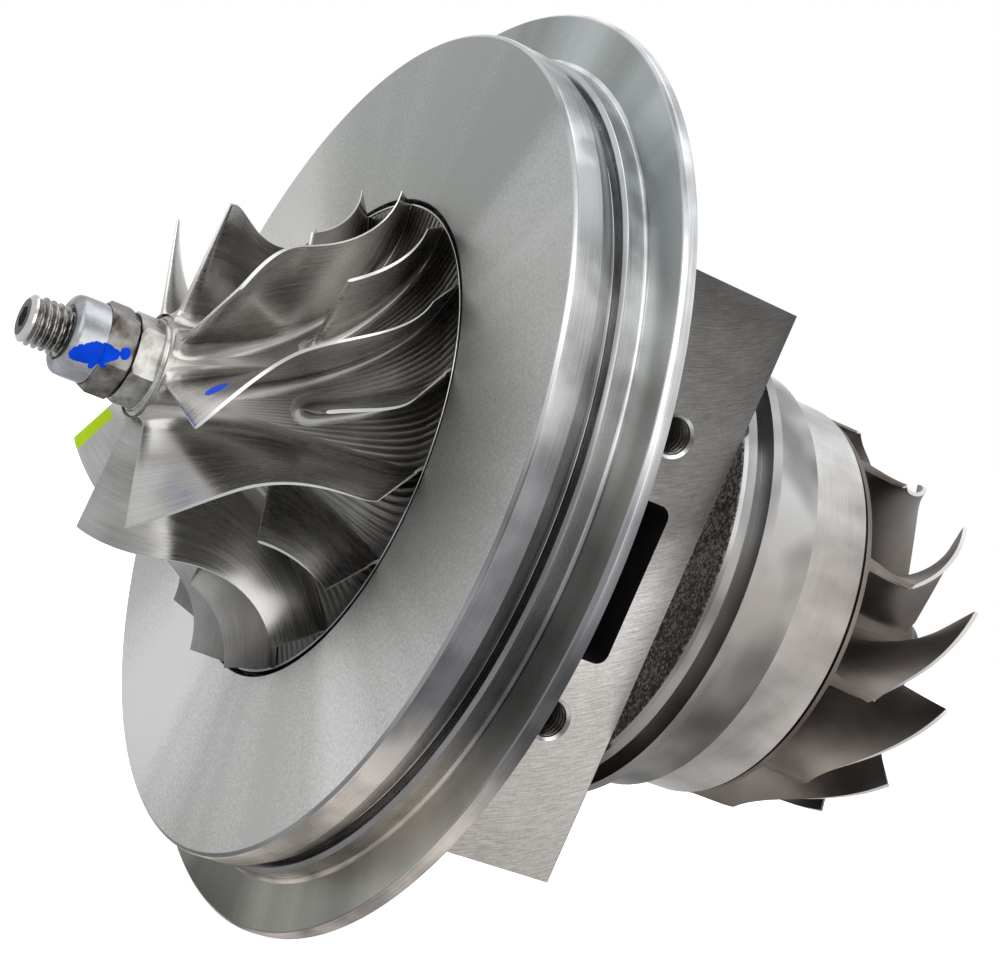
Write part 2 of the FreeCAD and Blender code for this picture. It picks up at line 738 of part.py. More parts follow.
def housing_hollows():
    "everything that is machined or cored out of the housing along the shaft"
    cavity_start = snap_ring_places()[1] + snap_ring_width + 3
    turbine_boss_front = snap_ring_places()[2] - 3
    turbine_boss_back = snap_ring_places()[3] + snap_ring_width + 2
    wall_start = boss_start + 2
    counterbore = collar_end + 0.8
    cavity = revolved([(cavity_start, 0), (cavity_start, cavity_radius - 5),
                       (cavity_start + 5, cavity_radius), (wall_start - 5, cavity_radius),
                       (wall_start, cavity_radius - 5), (wall_start, 0)])
    boss = ring(turbine_boss_front, turbine_boss_back, 0, boss_radius)
    web = Part.makeBox(turbine_boss_back - cavity_start, cavity_radius + 1, oilway_web_width,
                       Vector(cavity_start, shaft_journal_radius + 6, -oilway_web_width / 2))
    hollows = [cavity.cut(boss.fuse(web)),
               rod(joint_face - 1, joint_face + spigot_length + 0.3, spigot_radius + running_fit),
               rod(joint_face, thrust_back, thrust_plate_radius + seat_clearance),
               rod(thrust_back - 1, counterbore, collar_radius + 1.5),
               rod(counterbore - 1, turbine_boss_back + 1, bearing_bore),
               rod(wall_start - 1, shield_spigot_end() + end_wall_thickness + 1, turbine_seal_bore)]
    for place in snap_ring_places():
        hollows.append(rod(place, place + snap_ring_width, bearing_bore + snap_ring_bite))
    gallery = Part.makeBox(cavity_start - thrust_back + 3 * gallery_overlap, gallery_height, gallery_width,
                           Vector(thrust_back - gallery_overlap, 1 - thrust_plate_radius, -gallery_width / 2))
    hollows.append(gallery)
    return hollows


def oilways():
    "the inlet thread and the drillings from it to both bearings"
    top = Vector(pad_middle, inlet_boss_height, 0)
    foot = Vector(pad_middle, inlet_boss_height - inlet_thread_depth, 0)
    ways = [drilled(top + Vector(0, 1, 0), foot, inlet_thread_radius)]
    for start in (bearing_one, bearing_two):
        middle = start + bearing_length / 2
        ways.append(drilled(foot + Vector(0, 2, 0), Vector(middle, bearing_bore - 1, 0), oilway_radius))
    return ways


def flange_holes():
    seat = joint_face - 1
    hole = Part.makeCylinder(backplate_bolt_radius + bolt_clearance, housing_flange_thickness + 3,
                             spot(seat, backplate_bolt_circle, bolt_phase()), X_AXIS)
    screw = Part.makeCylinder(thrust_screw_radius + seat_clearance, thrust_screw_bite + 3,
                              spot(thrust_back - 1, thrust_screw_circle, 0), X_AXIS)
    return around(hole, backplate_bolt_count) + around(screw, 3)


def bearing_housing():
    "cast-iron housing that carries the bearings, the drain pad and both end joints"
    body = housing_body().multiFuse([drain_pad(), oil_inlet_boss()])
    cuts = housing_hollows() + [drain_slot()] + drain_bolt_holes() + oilways() + flange_holes()
    return body.cut(cuts)


def heat_shield():
    "turned cup between the turbine wheel and the housing's end wall"
    inner = shield_spigot_radius + seat_clearance
    floor = shield_back - shield_floor
    return revolved([(pilot_back, inner), (pilot_back, shield_radius), (shield_back - 0.5, shield_radius),
                     (shield_back, shield_radius - 0.5), (shield_back, shaft_boss_radius + 1.5),
                     (floor, shaft_boss_radius + 1.5), (floor, inner)])


def main():
    os.makedirs("parts", exist_ok=True)
    write("compressor_wheel", compressor_wheel())
    write("turbine_wheel", turbine_wheel())
    write("shaft", shaft())
    write("compressor_nut", compressor_nut())
    write("oil_slinger", oil_slinger())
    write("thrust_collar", thrust_collar())
    write("backplate", backplate())
    write("backplate_bolts", backplate_bolts())
    write("backplate_washers", backplate_washers())
    write("spigot_o_ring", spigot_o_ring())
    write("thrust_bearing", thrust_bearing())
    write("thrust_bearing_screws", thrust_screws())
    write("oil_deflector", oil_deflector())
    write("compressor_journal_bearing", journal_bearing(bearing_one))
    write("turbine_journal_bearing", journal_bearing(bearing_two))
    names = ("compressor_bearing_front_snap_ring", "compressor_bearing_rear_snap_ring",
             "turbine_bearing_front_snap_ring", "turbine_bearing_rear_snap_ring")
    for name, place in zip(names, snap_ring_places()):
        write(name, snap_ring(place))
    rings = [seal_ring(slinger_groove(k), slinger_radius, seal_bore) for k in range(2)]
    write("compressor_seal_rings", rings)
    turbine_groove = boss_start + turbine_seal_offset
    write("turbine_seal_ring", seal_ring(turbine_groove, shaft_boss_radius, turbine_seal_bore))
    write("bearing_housing", bearing_housing())
    write("heat_shield", heat_shield())


main()
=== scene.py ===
import math

import bmesh
import bpy
import numpy as np
from mathutils import Matrix, Vector


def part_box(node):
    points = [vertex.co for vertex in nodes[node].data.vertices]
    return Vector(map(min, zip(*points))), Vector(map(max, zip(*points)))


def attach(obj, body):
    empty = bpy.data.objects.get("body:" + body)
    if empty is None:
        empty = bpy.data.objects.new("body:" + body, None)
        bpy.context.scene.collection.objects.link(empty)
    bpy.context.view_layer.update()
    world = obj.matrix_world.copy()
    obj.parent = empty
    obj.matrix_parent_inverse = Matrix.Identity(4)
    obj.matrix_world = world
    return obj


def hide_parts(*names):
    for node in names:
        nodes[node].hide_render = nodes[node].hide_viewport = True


# The looks of a turbocharger cartridge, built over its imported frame.
# Sizes below are in millimetres and angles in degrees. mm turns them into the scene's metres.
# +X runs along the shaft from compressor to turbine, -Y out of the drain pad, +Z up.

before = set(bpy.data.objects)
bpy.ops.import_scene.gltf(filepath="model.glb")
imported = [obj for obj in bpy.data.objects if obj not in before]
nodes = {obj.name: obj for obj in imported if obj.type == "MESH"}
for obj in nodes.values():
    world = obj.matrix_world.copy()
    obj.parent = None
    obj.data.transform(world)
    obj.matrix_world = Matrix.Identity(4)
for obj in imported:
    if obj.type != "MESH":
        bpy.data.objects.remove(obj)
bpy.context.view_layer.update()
mm = 0.001


def reach(node, axis, side):
    "one side of a node's box in millimetres: side 0 is the low one and 1 the high one"
    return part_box(node)[side][axis] / mm


# Sizes, from the frame where it holds them
disc_front = reach("backplate", 0, 0)
flange_radius = reach("backplate", 2, 1)
wheel_start = reach("compressor_wheel", 0, 0)
wheel_back = reach("compressor_wheel", 0, 1)
wheel_tip = reach("compressor_wheel", 2, 1)
nut_start = reach("compressor_nut", 0, 0)
nut_end = reach("compressor_nut", 0, 1)
wheel_floor = disc_front + 0.1
wheel_inlet = wheel_floor - 44.5
turbine_back = reach("heat_shield", 0, 1) + 0.9
turbine_floor = turbine_back + 1.2

# Sizes that the frame doesn't hold
bore_radius = 13.0
hexagon_phase = 49.0
hexagon_width = 19.0
pad_middle_x = 41.9
pad_middle_z = -2.9
pad_distance = 47.1
bolt_half_spacing = 35.3
bolt_holes = (pad_middle_z - bolt_half_spacing, pad_middle_z + bolt_half_spacing)


# Mesh making

def spot(x, radius, angle):
    "points at places along the shaft, radii and angles in degrees from -Y towards +Z"
    turn = np.radians(angle)
    return np.stack(np.broadcast_arrays(x, -radius * np.cos(turn), radius * np.sin(turn)), axis=-1)


def placed(name, data):
    "an object put into the scene"
    piece = bpy.data.objects.new(name, data)
    bpy.context.scene.collection.objects.link(piece)
    return piece


def new_piece(name, parts, body, materials, replaced=(), smooth_angle=30.0, flow=None):
    "a mesh object from parts (points, then faces for each material), riding on its body"
    points, faces, numbers, start = [], [], [], 0
    for some_points, *groups in parts:
        points.append(np.asarray(some_points).reshape(-1, 3))
        for number, some_faces in enumerate(groups):
            faces += [tuple(c + start for c in face) for face in some_faces]
            numbers += [number] * len(some_faces)
        start += len(points[-1])
    mesh = bpy.data.meshes.new(name)
    mesh.from_pydata((np.concatenate(points) * mm).tolist(), [], faces)
    for material in materials:
        mesh.materials.append(material)
    mesh.polygons.foreach_set("material_index", numbers)
    if flow is not None:
        field = mesh.attributes.new("flow", "FLOAT_VECTOR", "POINT")
        field.data.foreach_set("vector", np.concatenate(flow).ravel())
    mesh.validate()
    shell = bmesh.new()
    shell.from_mesh(mesh)
    bmesh.ops.recalc_face_normals(shell, faces=shell.faces)
    shell.to_mesh(mesh)
    shell.free()
    mesh.shade_smooth()
    mesh.set_sharp_from_angle(angle=math.radians(smooth_angle))
    piece = placed(name, mesh)
    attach(piece, body)
    if replaced:
        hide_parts(*replaced)


def grid_faces(rows, columns, start=0, wrap=False):
    "quads over a grid of points; wrap joins the last column to the first"
    faces = []
    for r in range(rows - 1):
        for c in range(columns if wrap else columns - 1):
            here = start + r * columns + c
            beside = start + r * columns + (c + 1) % columns
            faces.append((here, beside, beside + columns, here + columns))
    return faces


def rounded(outline, corners=6):
    "an outline of (x, radius) or (x, radius, rounding) corners, with arcs for the rounded ones"
    points = []
    for k, corner in enumerate(outline):
        here = np.array(corner[:2], float)
        size = corner[2] if len(corner) > 2 else 0.0
        if size == 0 or k in (0, len(outline) - 1):
            points.append(here)
            continue
        before = np.array(outline[k - 1][:2], float) - here
        after = np.array(outline[k + 1][:2], float) - here
        size_in = min(size, 0.49 * np.linalg.norm(before))
        size_out = min(size, 0.49 * np.linalg.norm(after))
        first = here + before / np.linalg.norm(before) * size_in
        last = here + after / np.linalg.norm(after) * size_out
        for t in np.linspace(0, 1, corners):
            points.append((1 - t) ** 2 * first + 2 * t * (1 - t) * here + t ** 2 * last)
    return np.array(points)


def turned(outline, segments=256, corners=6):
    "points and faces of a turned form"
    profile = rounded(outline, corners)
    angles = np.arange(segments) * 360.0 / segments
    points = spot(profile[:, None, 0], profile[:, None, 1], angles[None, :])
    return points.reshape(-1, 3), grid_faces(len(profile), segments, wrap=True)


# Blades

def straight_then_quarter(start, corner, end, share):
    "a straight run and then a quarter ellipse, by share of the length; below 0 it runs on straight"
    run = math.hypot(corner[0] - start[0], corner[1] - start[1])
    bend = math.pi / 4 * (abs(end[0] - corner[0]) + abs(end[1] - corner[1]))
    along = share * (run + bend)
    part = along / run
    turn = np.clip((along - run) / bend, 0, 1.2) * math.pi / 2
    x = np.where(along < run, start[0] + (corner[0] - start[0]) * part,
                 corner[0] + (end[0] - corner[0]) * np.sin(turn))
    radius = np.where(along < run, start[1] + (corner[1] - start[1]) * part,
                      end[1] + (corner[1] - end[1]) * np.cos(turn))
    return x, radius


def unit(vectors):
    "vectors brought to length 1"
    return vectors / np.maximum(np.linalg.norm(vectors, axis=-1, keepdims=True), 1e-9)


def lifted(points, wanted, hub_line):
    "points moved along the hub's normal until they stand at the wanted height above it"
    x = points[..., 0]
    radius = np.hypot(points[..., 1], points[..., 2])
    line = np.stack(hub_line, axis=-1)
    way = unit(np.gradient(line, axis=0))
    normal = np.stack([-way[:, 1], way[:, 0]], axis=-1)
    here = np.stack([x, radius], axis=-1)
    nearest = np.argmin(((here[..., None, :] - line) ** 2).sum(axis=-1), axis=-1)
    offset = here - line[nearest]
    height = (offset * normal[nearest]).sum(axis=-1)
    shift = (wanted - height)[..., None] * normal[nearest]
    new_radius = radius + shift[..., 1]
    scale = new_radius / np.maximum(radius, 1e-6)
    return np.stack([x + shift[..., 0], points[..., 1] * scale, points[..., 2] * scale], axis=-1)


def blade(root_at, edge_at, hub_line, root_half, edge_half, fillet, nose, slim_end=0.0, rows=64, levels=9):
    "points, faces and flow marks of one blade with a round nose and a fillet at its foot"
    nose_steps = 7
    fillet_steps = 7
    bend = np.linspace(0, math.pi / 2, nose_steps + 1)[:-1]
    side = np.linspace(0, 1, rows) ** 1.25
    heights = []
    for k in range(fillet_steps):
        turn = k / fillet_steps * math.pi / 2
        heights.append((fillet * (1 - math.cos(turn)), fillet * (1 - math.sin(turn)), True))
    span = np.linalg.norm(edge_at(0.5) - root_at(0.5))
    for part in np.linspace(fillet / span, 1, levels):
        heights.append((part, 0.0, False))
    layers = []
    flow = []
    for height, flare, in_fillet in heights:
        def at(share):
            root, edge = root_at(share), edge_at(share)
            length = np.linalg.norm(edge - root, axis=-1, keepdims=True)
            part = height / length if in_fillet else height
            return root + (edge - root) * part
        chord = np.linalg.norm(np.diff(at(np.linspace(0, 1, 40)), axis=0), axis=1).sum()
        part = height / span if in_fillet else height
        half = root_half + (edge_half - root_half) * part
        reach_in = nose * half
        along = np.concatenate([reach_in * (1 - np.cos(bend)), reach_in + (chord - reach_in) * side])
        across = np.concatenate([half * np.sin(bend), np.full(rows, half)])
        normal = np.stack([-np.gradient(across), np.gradient(along)], axis=-1)
        normal[0] = (-1, 0)
        normal = unit(normal)
        normal[nose_steps:] = (0, 1)
        along = along + flare * normal[:, 0]
        across = across + flare * normal[:, 1]
        share = along / chord
        place = at(share)
        step = 0.003
        ahead = unit(at(share + step) - at(share - step))
        up = unit(edge_at(share) - root_at(share))
        sideways = unit(np.cross(ahead, up))
        across = across * (1 - slim_end * np.clip(share, 0, 1) ** 2)
        sides = np.stack([place + sideways * across[:, None], place - sideways * across[:, None]])
        if in_fillet:
            weight = (1 - height / fillet)
            sides = sides + (lifted(sides, height - 0.03, hub_line) - sides) * weight
        layers.append(np.concatenate([sides[0][::-1], sides[1][1:]]))
        level = height / span if in_fillet else height
        marks = np.stack([share, np.full_like(share, level), np.full_like(share, 0.25)], axis=-1)
        flow.append(np.concatenate([marks[::-1], marks[1:] + np.array([0.0, 0.0, 0.5])]))
    columns = len(layers[0])
    faces = grid_faces(len(layers), columns)
    for k in range(len(layers) - 1):
        low, high = k * columns, (k + 1) * columns
        faces.append((low, high, high + columns - 1, low + columns - 1))
    top = (len(layers) - 1) * columns
    crest = []
    for k in range((columns - 1) // 2):
        crest.append((top + k, top + k + 1, top + columns - 2 - k, top + columns - 1 - k))
    return np.concatenate(layers), faces, crest, np.concatenate(flow)


def turned_copies(points, faces, count, phase=0.0):
    "points and faces repeated evenly about the shaft"
    all_points, all_faces = [], []
    for k in range(count):
        turn = math.radians(phase + 360.0 * k / count)
        y = points[:, 1] * math.cos(turn) - points[:, 2] * math.sin(turn)
        z = points[:, 1] * math.sin(turn) + points[:, 2] * math.cos(turn)
        all_points.append(np.stack([points[:, 0], y, z], axis=-1))
        all_faces += [tuple(c + k * len(points) for c in face) for face in faces]
    return np.concatenate(all_points), all_faces


def all_blades(one, count, phase=0.0):
    "every blade of a wheel, with the faces of its sides and of its bright crest"
    points, sides, crest = one[:3]
    copies, side_faces = turned_copies(points, sides, count, phase)
    return copies, side_faces, turned_copies(points, crest, count, phase)[1]


def numbered(flow, count, first=0):
    "the flow marks of one blade repeated for all, with each blade's number added to the third"
    return np.concatenate([flow + np.array([0.0, 0.0, first + k]) for k in range(count)])


def zoned(points, faces, tests):
    "faces sorted into groups by tests of their middle's place along the shaft and radius, first fit first"
    points = np.asarray(points)
    groups = [[] for k in range(len(tests) + 1)]
    for face in faces:
        middle = points[list(face)].mean(axis=0)
        x, radius = middle[0], math.hypot(middle[1], middle[2])
        found = next((k + 1 for k, test in enumerate(tests) if test(x, radius)), 0)
        groups[found].append(face)
    return (points, *groups)


def hexagon_radius(angles, width, phase):
    "the distance from a hexagon's middle to its side, at each angle"
    return width / 2 / np.cos(np.radians((angles - phase) % 60.0 - 30.0))


def six_sided(x_places, limit, width, phase, columns=360):
    "points and faces of a hexagon bar whose corners are bevelled to limit(x)"
    angles = np.arange(columns) * 360.0 / columns
    flats = hexagon_radius(angles, width, phase)
    rows = [spot(x, np.minimum(flats, limit(x)), angles) for x in x_places]
    return np.concatenate(rows), grid_faces(len(rows), columns, wrap=True)


def threaded(x_start, x_end, crest, root, pitch, columns=96):
    "points and faces of a screw thread along the shaft's direction, run out at both ends"
    rows_per_turn = 14
    rows = int((x_end - x_start) / (pitch / rows_per_turn)) + 1
    x = np.linspace(x_start, x_end, rows)[:, None]
    angles = (np.arange(columns) * 360.0 / columns)[None, :]
    along = np.mod(x / pitch + angles / 360.0, 1.0)
    height = np.clip(1.25 - np.abs(2 * along - 1) * 1.5, 0, 1)
    fade = np.clip(np.minimum(x - x_start, x_end - x) / (0.5 * pitch), 0, 1)
    radius = root + (crest - root) * height * fade
    return spot(x + 0 * angles, radius, angles + 0 * x).reshape(-1, 3), grid_faces(rows, columns, wrap=True)


# Materials

def adder(tree):
    "a helper that adds a node to a tree, with its settings, values and links"
    def add(kind, inputs=(), **settings):
        node = tree.nodes.new(kind)
        for key, value in settings.items():
            setattr(node, key, value)
        for key, value in dict(inputs).items():
            if isinstance(value, bpy.types.NodeSocket):
                tree.links.new(value, node.inputs[key])
            else:
                node.inputs[key].default_value = value
        return node
    return add


def shader(name):
    "an empty node material: its tree, the Principled shader and a helper that adds nodes"
    material = bpy.data.materials.new(name)
    material.use_nodes = True
    tree = material.node_tree
    return material, tree, tree.nodes["Principled BSDF"], adder(tree)


def mixed(add, share, first, second):
    "a colour between two colours"
    return add("ShaderNodeMix", {0: share, 6: first, 7: second}, data_type="RGBA").outputs[2]


def maths(add, operation, *values):
    "a sum on numbers"
    return add("ShaderNodeMath", dict(enumerate(values)), operation=operation).outputs[0]


def vector_maths(add, operation, *values):
    "a sum on vectors or colours"
    return add("ShaderNodeVectorMath", dict(enumerate(values)), operation=operation).outputs[0]


def vector_number(add, operation, *values):
    "a sum on vectors that gives a number"
    node = add("ShaderNodeVectorMath", dict(enumerate(values)), operation=operation)
    return node.outputs["Value"]


def mapped(add, value, low=0.0, high=1.0, to_low=0.0, to_high=1.0):
    "a value brought from one range to another and held inside it"
    return add("ShaderNodeMapRange", {"Value": value, "From Min": low, "From Max": high, "To Min": to_low,
                                      "To Max": to_high}).outputs[0]


def step_at(add, value, place, width=0.05):
    "0 below a place in millimetres and 1 above it"
    return mapped(add, value, low=(place - width) * mm, high=(place + width) * mm)


def product(add, first, second):
    "two numbers multiplied"
    return maths(add, "MULTIPLY", first, second)


def between(add, value, low, high):
    "1 where a value lies between two limits"
    above = maths(add, "GREATER_THAN", value, float(low))
    below = maths(add, "LESS_THAN", value, float(high))
    return product(add, above, below)


def outside(add, value):
    "1 where a mask is 0, and 0 where it is 1"
    return maths(add, "SUBTRACT", 1.0, value)


def about_shaft(add):
    "sockets for the object coordinates, the place along the shaft and the radius"
    place = add("ShaderNodeTexCoord").outputs["Object"]
    axes = add("ShaderNodeSeparateXYZ", {"Vector": place}).outputs
    y_squared = maths(add, "MULTIPLY", axes["Y"], axes["Y"])
    squares = maths(add, "MULTIPLY_ADD", axes["Z"], axes["Z"], y_squared)
    radius = maths(add, "SQRT", squares)
    return place, axes["X"], radius


def noise_on(add, vector, scale, detail=3.0, roughness=0.6):
    "smooth noise over a vector, about 0.3 to 0.7"
    return add("ShaderNodeTexNoise", {"Vector": vector, "Scale": scale, "Detail": detail,
                                      "Roughness": roughness}).outputs["Fac"]


def ramp_on(add, value, stops):
    "a colour ramp with stops of (place, grey or colour)"
    node = add("ShaderNodeValToRGB", {"Fac": value})
    ramp = node.color_ramp
    while len(ramp.elements) < len(stops):
        ramp.elements.new(0.5)
    for element, (place, colour) in zip(ramp.elements, stops):
        element.position = place
        colour = colour if isinstance(colour, tuple) else (colour,) * 3
        element.color = (*colour, 1.0)
    return node.outputs["Color"]


def lathe_rings(add, x, radius, scale):
    "fine noise that runs round the shaft like the marks of a lathe"
    lines = add("ShaderNodeCombineXYZ", {"X": x, "Y": radius, "Z": 0.0}).outputs[0]
    return noise_on(add, lines, scale, 4.0, 0.75)


def finish(tree, principled, add, colour, gloss, height):
    "colour, roughness and a bump from a height in metres, led to the shader"
    bump = add("ShaderNodeBump", {"Height": height, "Distance": 1.0, "Strength": 1.0}).outputs[0]
    for name, value in (("Base Color", colour), ("Roughness", gloss), ("Normal", bump)):
        tree.links.new(value, principled.inputs[name])


def metal(name, colours, roughness, grain_size, grain_depth, lathe=0.0, lathe_pitch=0.25, metallic=1.0,
          patch=12.0):
    "a metal or rubber with cloudy colour, uneven gloss, grain and, where it was turned, fine lathe lines"
    material, tree, principled, add = shader(name)
    place, x, radius = about_shaft(add)
    clouds = noise_on(add, place, patch, 4.0, 0.55)
    colour = ramp_on(add, clouds, [(0.3, colours[0]), (0.7, colours[1])])
    fine = noise_on(add, place, 1.0 / (grain_size * mm), 3.0, 0.7)
    principled.inputs["Metallic"].default_value = metallic
    height = product(add, fine, grain_depth * mm)
    if lathe:
        rings = lathe_rings(add, x, radius, 1.0 / (lathe_pitch * mm))
        height = maths(add, "MULTIPLY_ADD", rings, lathe * mm, height)
    finish(tree, principled, add, colour, mapped(add, clouds, 0.3, 0.7, *roughness), height)
    return material


def place_height(add, place):
    "the height of a point in metres"
    return add("ShaderNodeSeparateXYZ", {"Vector": place}).outputs["Z"]


def ring_cloth(add, along, around):
    "a vector that changes slowly along the shaft and round it, for marks that follow the turning"
    place = add("ShaderNodeTexCoord").outputs["Object"]
    flat = vector_maths(add, "MULTIPLY", place, (0.0, 1.0, 1.0))
    way = vector_maths(add, "NORMALIZE", flat)
    ways = vector_maths(add, "MULTIPLY", way, (0.0, around, around))
    return vector_maths(add, "MULTIPLY_ADD", place, (along, 0.0, 0.0), ways)


def turned_metal(name, stops, roughness, lines, along=60.0, around=1.6, anisotropy=0.6, grain=0.0,
                 streak=0.0, lower_painted_light=(1.0, 0.945, 0.885), foot_painted_light=None):
    """a lathe-turned metal with fine tool lines, whose brightness drifts round the shaft, with painted light
    and shade by height and, where asked, a painted radial highlight
    """
    highlight_angle = 52.0
    white = (1.0, 1.0, 1.0)
    painted_top_light = (0.95, 0.98, 1.0)
    material, tree, principled, add = shader(name)
    place, x, radius = about_shaft(add)
    drift = noise_on(add, ring_cloth(add, along, around), 1.5, 3.0, 0.5)
    fine = noise_on(add, ring_cloth(add, 4000.0, 3.0), 1.0, 3.0, 0.7)
    speck = noise_on(add, place, 1400.0, 3.0, 0.7)
    value = maths(add, "MULTIPLY_ADD", fine, 0.16, drift)
    value = maths(add, "MULTIPLY_ADD", speck, grain, value)
    value = maths(add, "SUBTRACT", value, 0.08 + grain / 2)
    # Painted highlight: a bright radial streak at a fixed angle round the face, where the streak is set.
    if streak:
        highlight_way = tuple(spot(0.0, 1.0, highlight_angle))
        way = vector_number(add, "DOT_PRODUCT", ring_cloth(add, 0.0, 1.0), highlight_way)
        bright = mapped(add, way, low=0.975, high=1.0, to_high=streak)
        value = maths(add, "ADD", value, bright)
    # Painted light and shade by height: the colour is multiplied by a tint that darkens or lightens the lower
    # part and whitens the top.
    level = mapped(add, place_height(add, place), low=-0.1, high=0.08)
    painted_light_tint = ramp_on(add, level, [(0.20, foot_painted_light or lower_painted_light), (0.36, lower_painted_light), (0.64, lower_painted_light),
                                (0.84, white), (1.0, painted_top_light)])
    colour = vector_maths(add, "MULTIPLY", ramp_on(add, value, stops), painted_light_tint)
    height = product(add, lathe_rings(add, x, radius, 3200.0), lines * mm)
    finish(tree, principled, add, colour, mapped(add, fine, 0.3, 0.7, *roughness), height)
    principled.inputs["Metallic"].default_value = 1.0
    principled.inputs["Anisotropic"].default_value = anisotropy
    way = add("ShaderNodeTangent", direction_type="RADIAL", axis="X").outputs[0]
    tree.links.new(way, principled.inputs["Tangent"])
    return material


def painted(name, base, blots, colour):
    "a copy of a metal with hand-painted blots, each stretched between two points with some slack"
    wobble = 0.5
    soft_edge = 0.04
    material = base.copy()
    material.name = name
    tree = material.node_tree
    principled = tree.nodes["Principled BSDF"]
    add = adder(tree)
    place = add("ShaderNodeTexCoord").outputs["Object"]
    rough = noise_on(add, place, 700.0, 2.0, 0.6)
    covered = None
    for first, last, slack in blots:
        length = float(np.linalg.norm(first - last))
        near = [vector_number(add, "DISTANCE", place, tuple(float(v) * mm for v in end))
                for end in (first, last)]
        total = maths(add, "ADD", *near)
        total = maths(add, "MULTIPLY_ADD", rough, 2 * wobble * slack * mm, total)
        limit = (length + slack * (1 + wobble)) * mm
        inside = mapped(add, total, low=limit + soft_edge * slack * mm, high=limit - soft_edge * slack * mm)
        if covered is not None:
            inside = maths(add, "MAXIMUM", covered, inside)
        covered = inside
    bare = principled.inputs["Base Color"].links[0].from_socket
    shade = noise_on(add, place, 300.0, 2.0, 0.5)
    paint = ramp_on(add, shade, [(0.3, tuple(0.75 * c for c in colour)), (0.7, colour)])
    tree.links.new(mixed(add, covered, bare, paint), principled.inputs["Base Color"])
    tree.links.new(outside(add, covered), principled.inputs["Metallic"])
    principled.inputs["Specular IOR Level"].default_value = 0.05
    return material


def pad_arcs(add, x, z, place, grit):
    "the marks of the cutter that milled the pad: a wave along its arcs and an uneven tone"
    cutter_middle = 18.0
    pad_cutter_radius = 60.0
    arc_pitch = 0.8
    wander = 1.6
    worn = noise_on(add, place, 70.0, 3.0, 0.6)
    beside = maths(add, "SUBTRACT", x, cutter_middle * mm)
    bow = product(add, product(add, beside, beside), 1 / (2 * pad_cutter_radius * mm))
    sweep = maths(add, "SUBTRACT", z, bow)
    sweep = maths(add, "MULTIPLY_ADD", worn, wander * mm, sweep)
    arcs = maths(add, "SINE", product(add, sweep, 2 * math.pi / (arc_pitch * mm)))
    along_arcs = add("ShaderNodeCombineXYZ", {"X": product(add, x, 240.0),
                                              "Y": product(add, sweep, 1900.0)}).outputs[0]
    dashes = noise_on(add, along_arcs, 1.0, 2.0, 0.6)
    streak = maths(add, "MULTIPLY_ADD", grit, 0.7, product(add, arcs, 0.05))
    streak = maths(add, "MULTIPLY_ADD", dashes, 1.2, streak)
    return arcs, mapped(add, streak, low=0.6, high=1.3, to_low=0.62, to_high=1.18)


